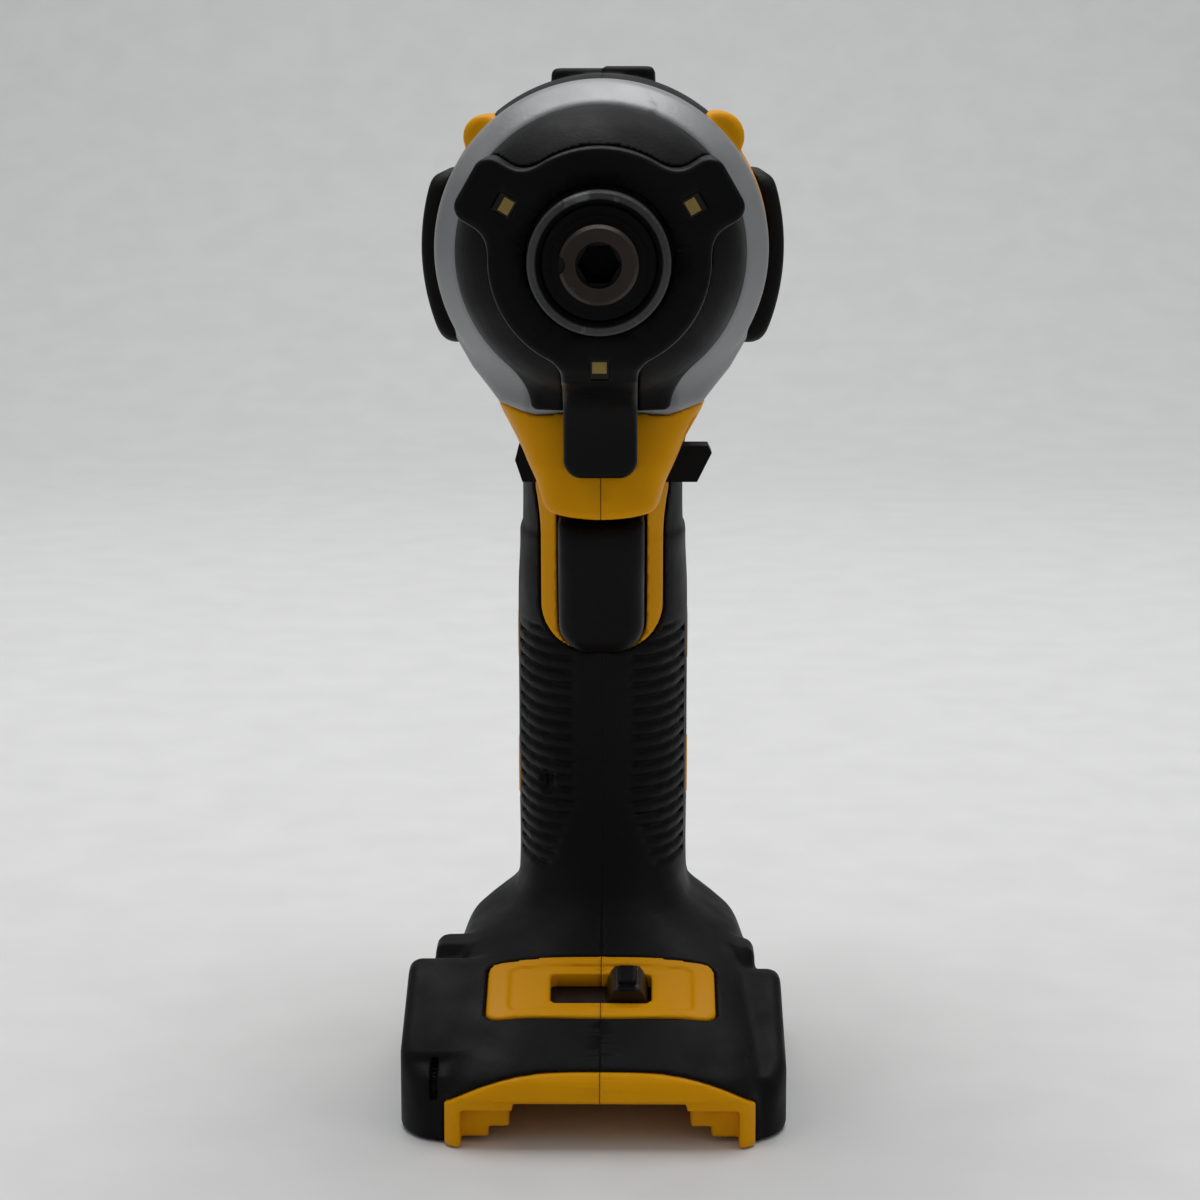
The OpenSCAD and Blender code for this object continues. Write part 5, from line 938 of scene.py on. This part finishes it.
collar = lathe("collar_look", COLLAR)
rim = finish("collar_steel_rim", (0.05, 0.05, 0.051), 0.6, 0.3, grain=1400, vary=0.35, bump=0.6, wear=0.45,
             worn=(0.14, 0.14, 0.14), shine=0.3)
stand_in(collar, "collar", "collar", finishes["collar_steel"])
collar.data.materials.append(rim)
for face in collar.data.polygons:
    middle = face.center
    if middle.y < RIM_Y * MM and math.hypot(middle.x, middle.z - AXIS * MM) > RIM_R * MM:
        face.material_index = 1

# Threaded inserts of the lugs: radii, the middle of each in x, and half their length
INSERT_R, INSERT_BORE_R, INSERT_LEFT, INSERT_RIGHT, INSERT_HALF = 3, 2.0, -34.6, 32.2, 3

low, high = (-38.5, -6.5, 9), (37, 1.4, 17)
x, y, z = grid(low, high, INSERT_STEP)
r = np.hypot(y - HOOK_Y, z - HOOK_Z)
ends = np.minimum(np.abs(x - INSERT_LEFT) - INSERT_HALF, np.abs(x - INSERT_RIGHT) - INSERT_HALF)
insert = np.maximum(np.maximum(r - INSERT_R, INSERT_BORE_R - r), ends)
insert = skin("belt_hook_inserts_look", insert, low, INSERT_STEP, keep=0.4)
stand_in(insert, "housing", "belt_hook_inserts", finishes["bronze"])


def pressed(node):
    """A spring of the CAD's own form, as a mesh of its own on the body of its CAD node."""
    source = bpy.data.objects[node]
    places = np.array([source.matrix_world @ v.co for v in source.data.vertices])
    places, one = np.unique(np.round(places, 7), axis=0, return_inverse=True)
    faces = one.ravel()[np.array([list(f.vertices) for f in source.data.polygons])]
    piece = mesh_object(node + "_look", places, faces)
    stand_in(piece, body_of(source)[0], node, finishes["spring_steel"])
    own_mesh(piece)


pressed("hammer_spring")
pressed("trigger_spring")
pressed("collar_spring")

# Nodes that keep their CAD shape
replaced = {"left_housing", "right_housing", "left_grip", "right_grip", "hammer_case", "nose_boot",
            "lamp_ring", "trigger", "collar", "speed_selector", "lamp_chips", "belt_hook_inserts",
            "hammer_spring", "trigger_spring", "collar_spring"}
slots = {part["node"]: part["material_slot"] for part in frame["record"]["subparts"]}
# The anvil is painted dark behind this y, as painted shade
ANVIL_SHADE_Y = -66.9
# The washer and clip get painted shade, near-black
special = {
    "collar_washer": finishes["shade_painted_steel"],
    "collar_clip": finishes["shade_painted_steel"],
    "anvil": finish("tool_steel_anvil", (0.03, 0.02, 0.014), 0.42, 0.55, grain=700, vary=0.3, bump=0.12,
                    wear=0.35, worn=(0.12, 0.1, 0.085), deep=ANVIL_SHADE_Y * MM),
}
for name, node in frame["nodes"].items():
    if name not in replaced:
        node.data.materials.clear()
        node.data.materials.append(special.get(name, finishes[slots[name]]))

# Stage, in metres: a floor that bends up into a wall
FLOOR_FRONT, FLOOR_BEND_Y, FLOOR_BEND_R, WALL_Y, WALL_TOP = -3.0, 0.9, 0.7, 1.6, 3.5
FLOOR_HALF, FLOOR_DROP = 4, 0.0002
bend = [(FLOOR_FRONT, 0.0), (FLOOR_BEND_Y, 0.0)]
for a in np.linspace(0.1, math.pi / 2, 16):
    bend.append((FLOOR_BEND_Y + FLOOR_BEND_R * math.sin(a), FLOOR_BEND_R - FLOOR_BEND_R * math.cos(a)))
bend.append((WALL_Y, WALL_TOP))
sweep = bpy.data.meshes.new("floor")
sweep.from_pydata([(s * FLOOR_HALF, b, c - FLOOR_DROP) for b, c in bend for s in (-1, 1)], [],
                  [(2 * i, 2 * i + 1, 2 * i + 3, 2 * i + 2) for i in range(len(bend) - 1)])
sweep.polygons.foreach_set("use_smooth", np.ones(len(sweep.polygons), bool))
floor = bpy.data.objects.new("floor", sweep)
bpy.context.scene.collection.objects.link(floor)
floor.data.materials.append(finish("floor", (0.72, 0.72, 0.715), 0.7, grain=120, vary=0.02, bump=0.02))

SKY, SKY_STRENGTH = (0.8, 0.82, 0.84, 1), 0.33
world = bpy.data.worlds.new("studio")
world.use_nodes = True
sky = world.node_tree.nodes["Background"]
sky.inputs["Color"].default_value = SKY
sky.inputs["Strength"].default_value = SKY_STRENGTH
bpy.context.scene.world = world


def lamp_light(name, place, aim, size, watts):
    light = bpy.data.lights.new(name, "AREA")
    light.size, light.energy = size, watts
    item = bpy.data.objects.new(name, light)
    item.location = place
    way = np.array(aim, float) - np.array(place, float)
    tilt = math.atan2(math.hypot(way[0], way[1]), -way[2])
    item.rotation_euler = (tilt, 0, math.atan2(way[1], way[0]) - math.pi / 2)
    bpy.context.scene.collection.objects.link(item)


lamp_light("top_light", (0, 0.35, 1.2), (0, 0.2, 0), size=1.1, watts=13)
lamp_light("left_light", (-0.9, -0.5, 0.7), (0, 0, 0.1), size=0.7, watts=0.7)
lamp_light("right_light", (0.9, -0.5, 0.7), (0, 0, 0.1), size=0.7, watts=0.7)

# The camera that was fitted to the photo: place in millimetres, angles in degrees
CAMERA_PLACE = (5.46, -582.82, 196.22)
CAMERA_DOWN, CAMERA_TURN = 9.829, 0.579
LENS, SENSOR = 90, 36
camera_data = bpy.data.cameras.new("camera")
camera_data.lens, camera_data.sensor_width = LENS, SENSOR
camera = bpy.data.objects.new("camera", camera_data)
camera.location = [p * MM for p in CAMERA_PLACE]
camera.rotation_euler = (math.radians(90 - CAMERA_DOWN), 0, math.radians(CAMERA_TURN))
bpy.context.scene.collection.objects.link(camera)
bpy.context.scene.camera = camera
bpy.context.scene.view_settings.view_transform = "Standard"
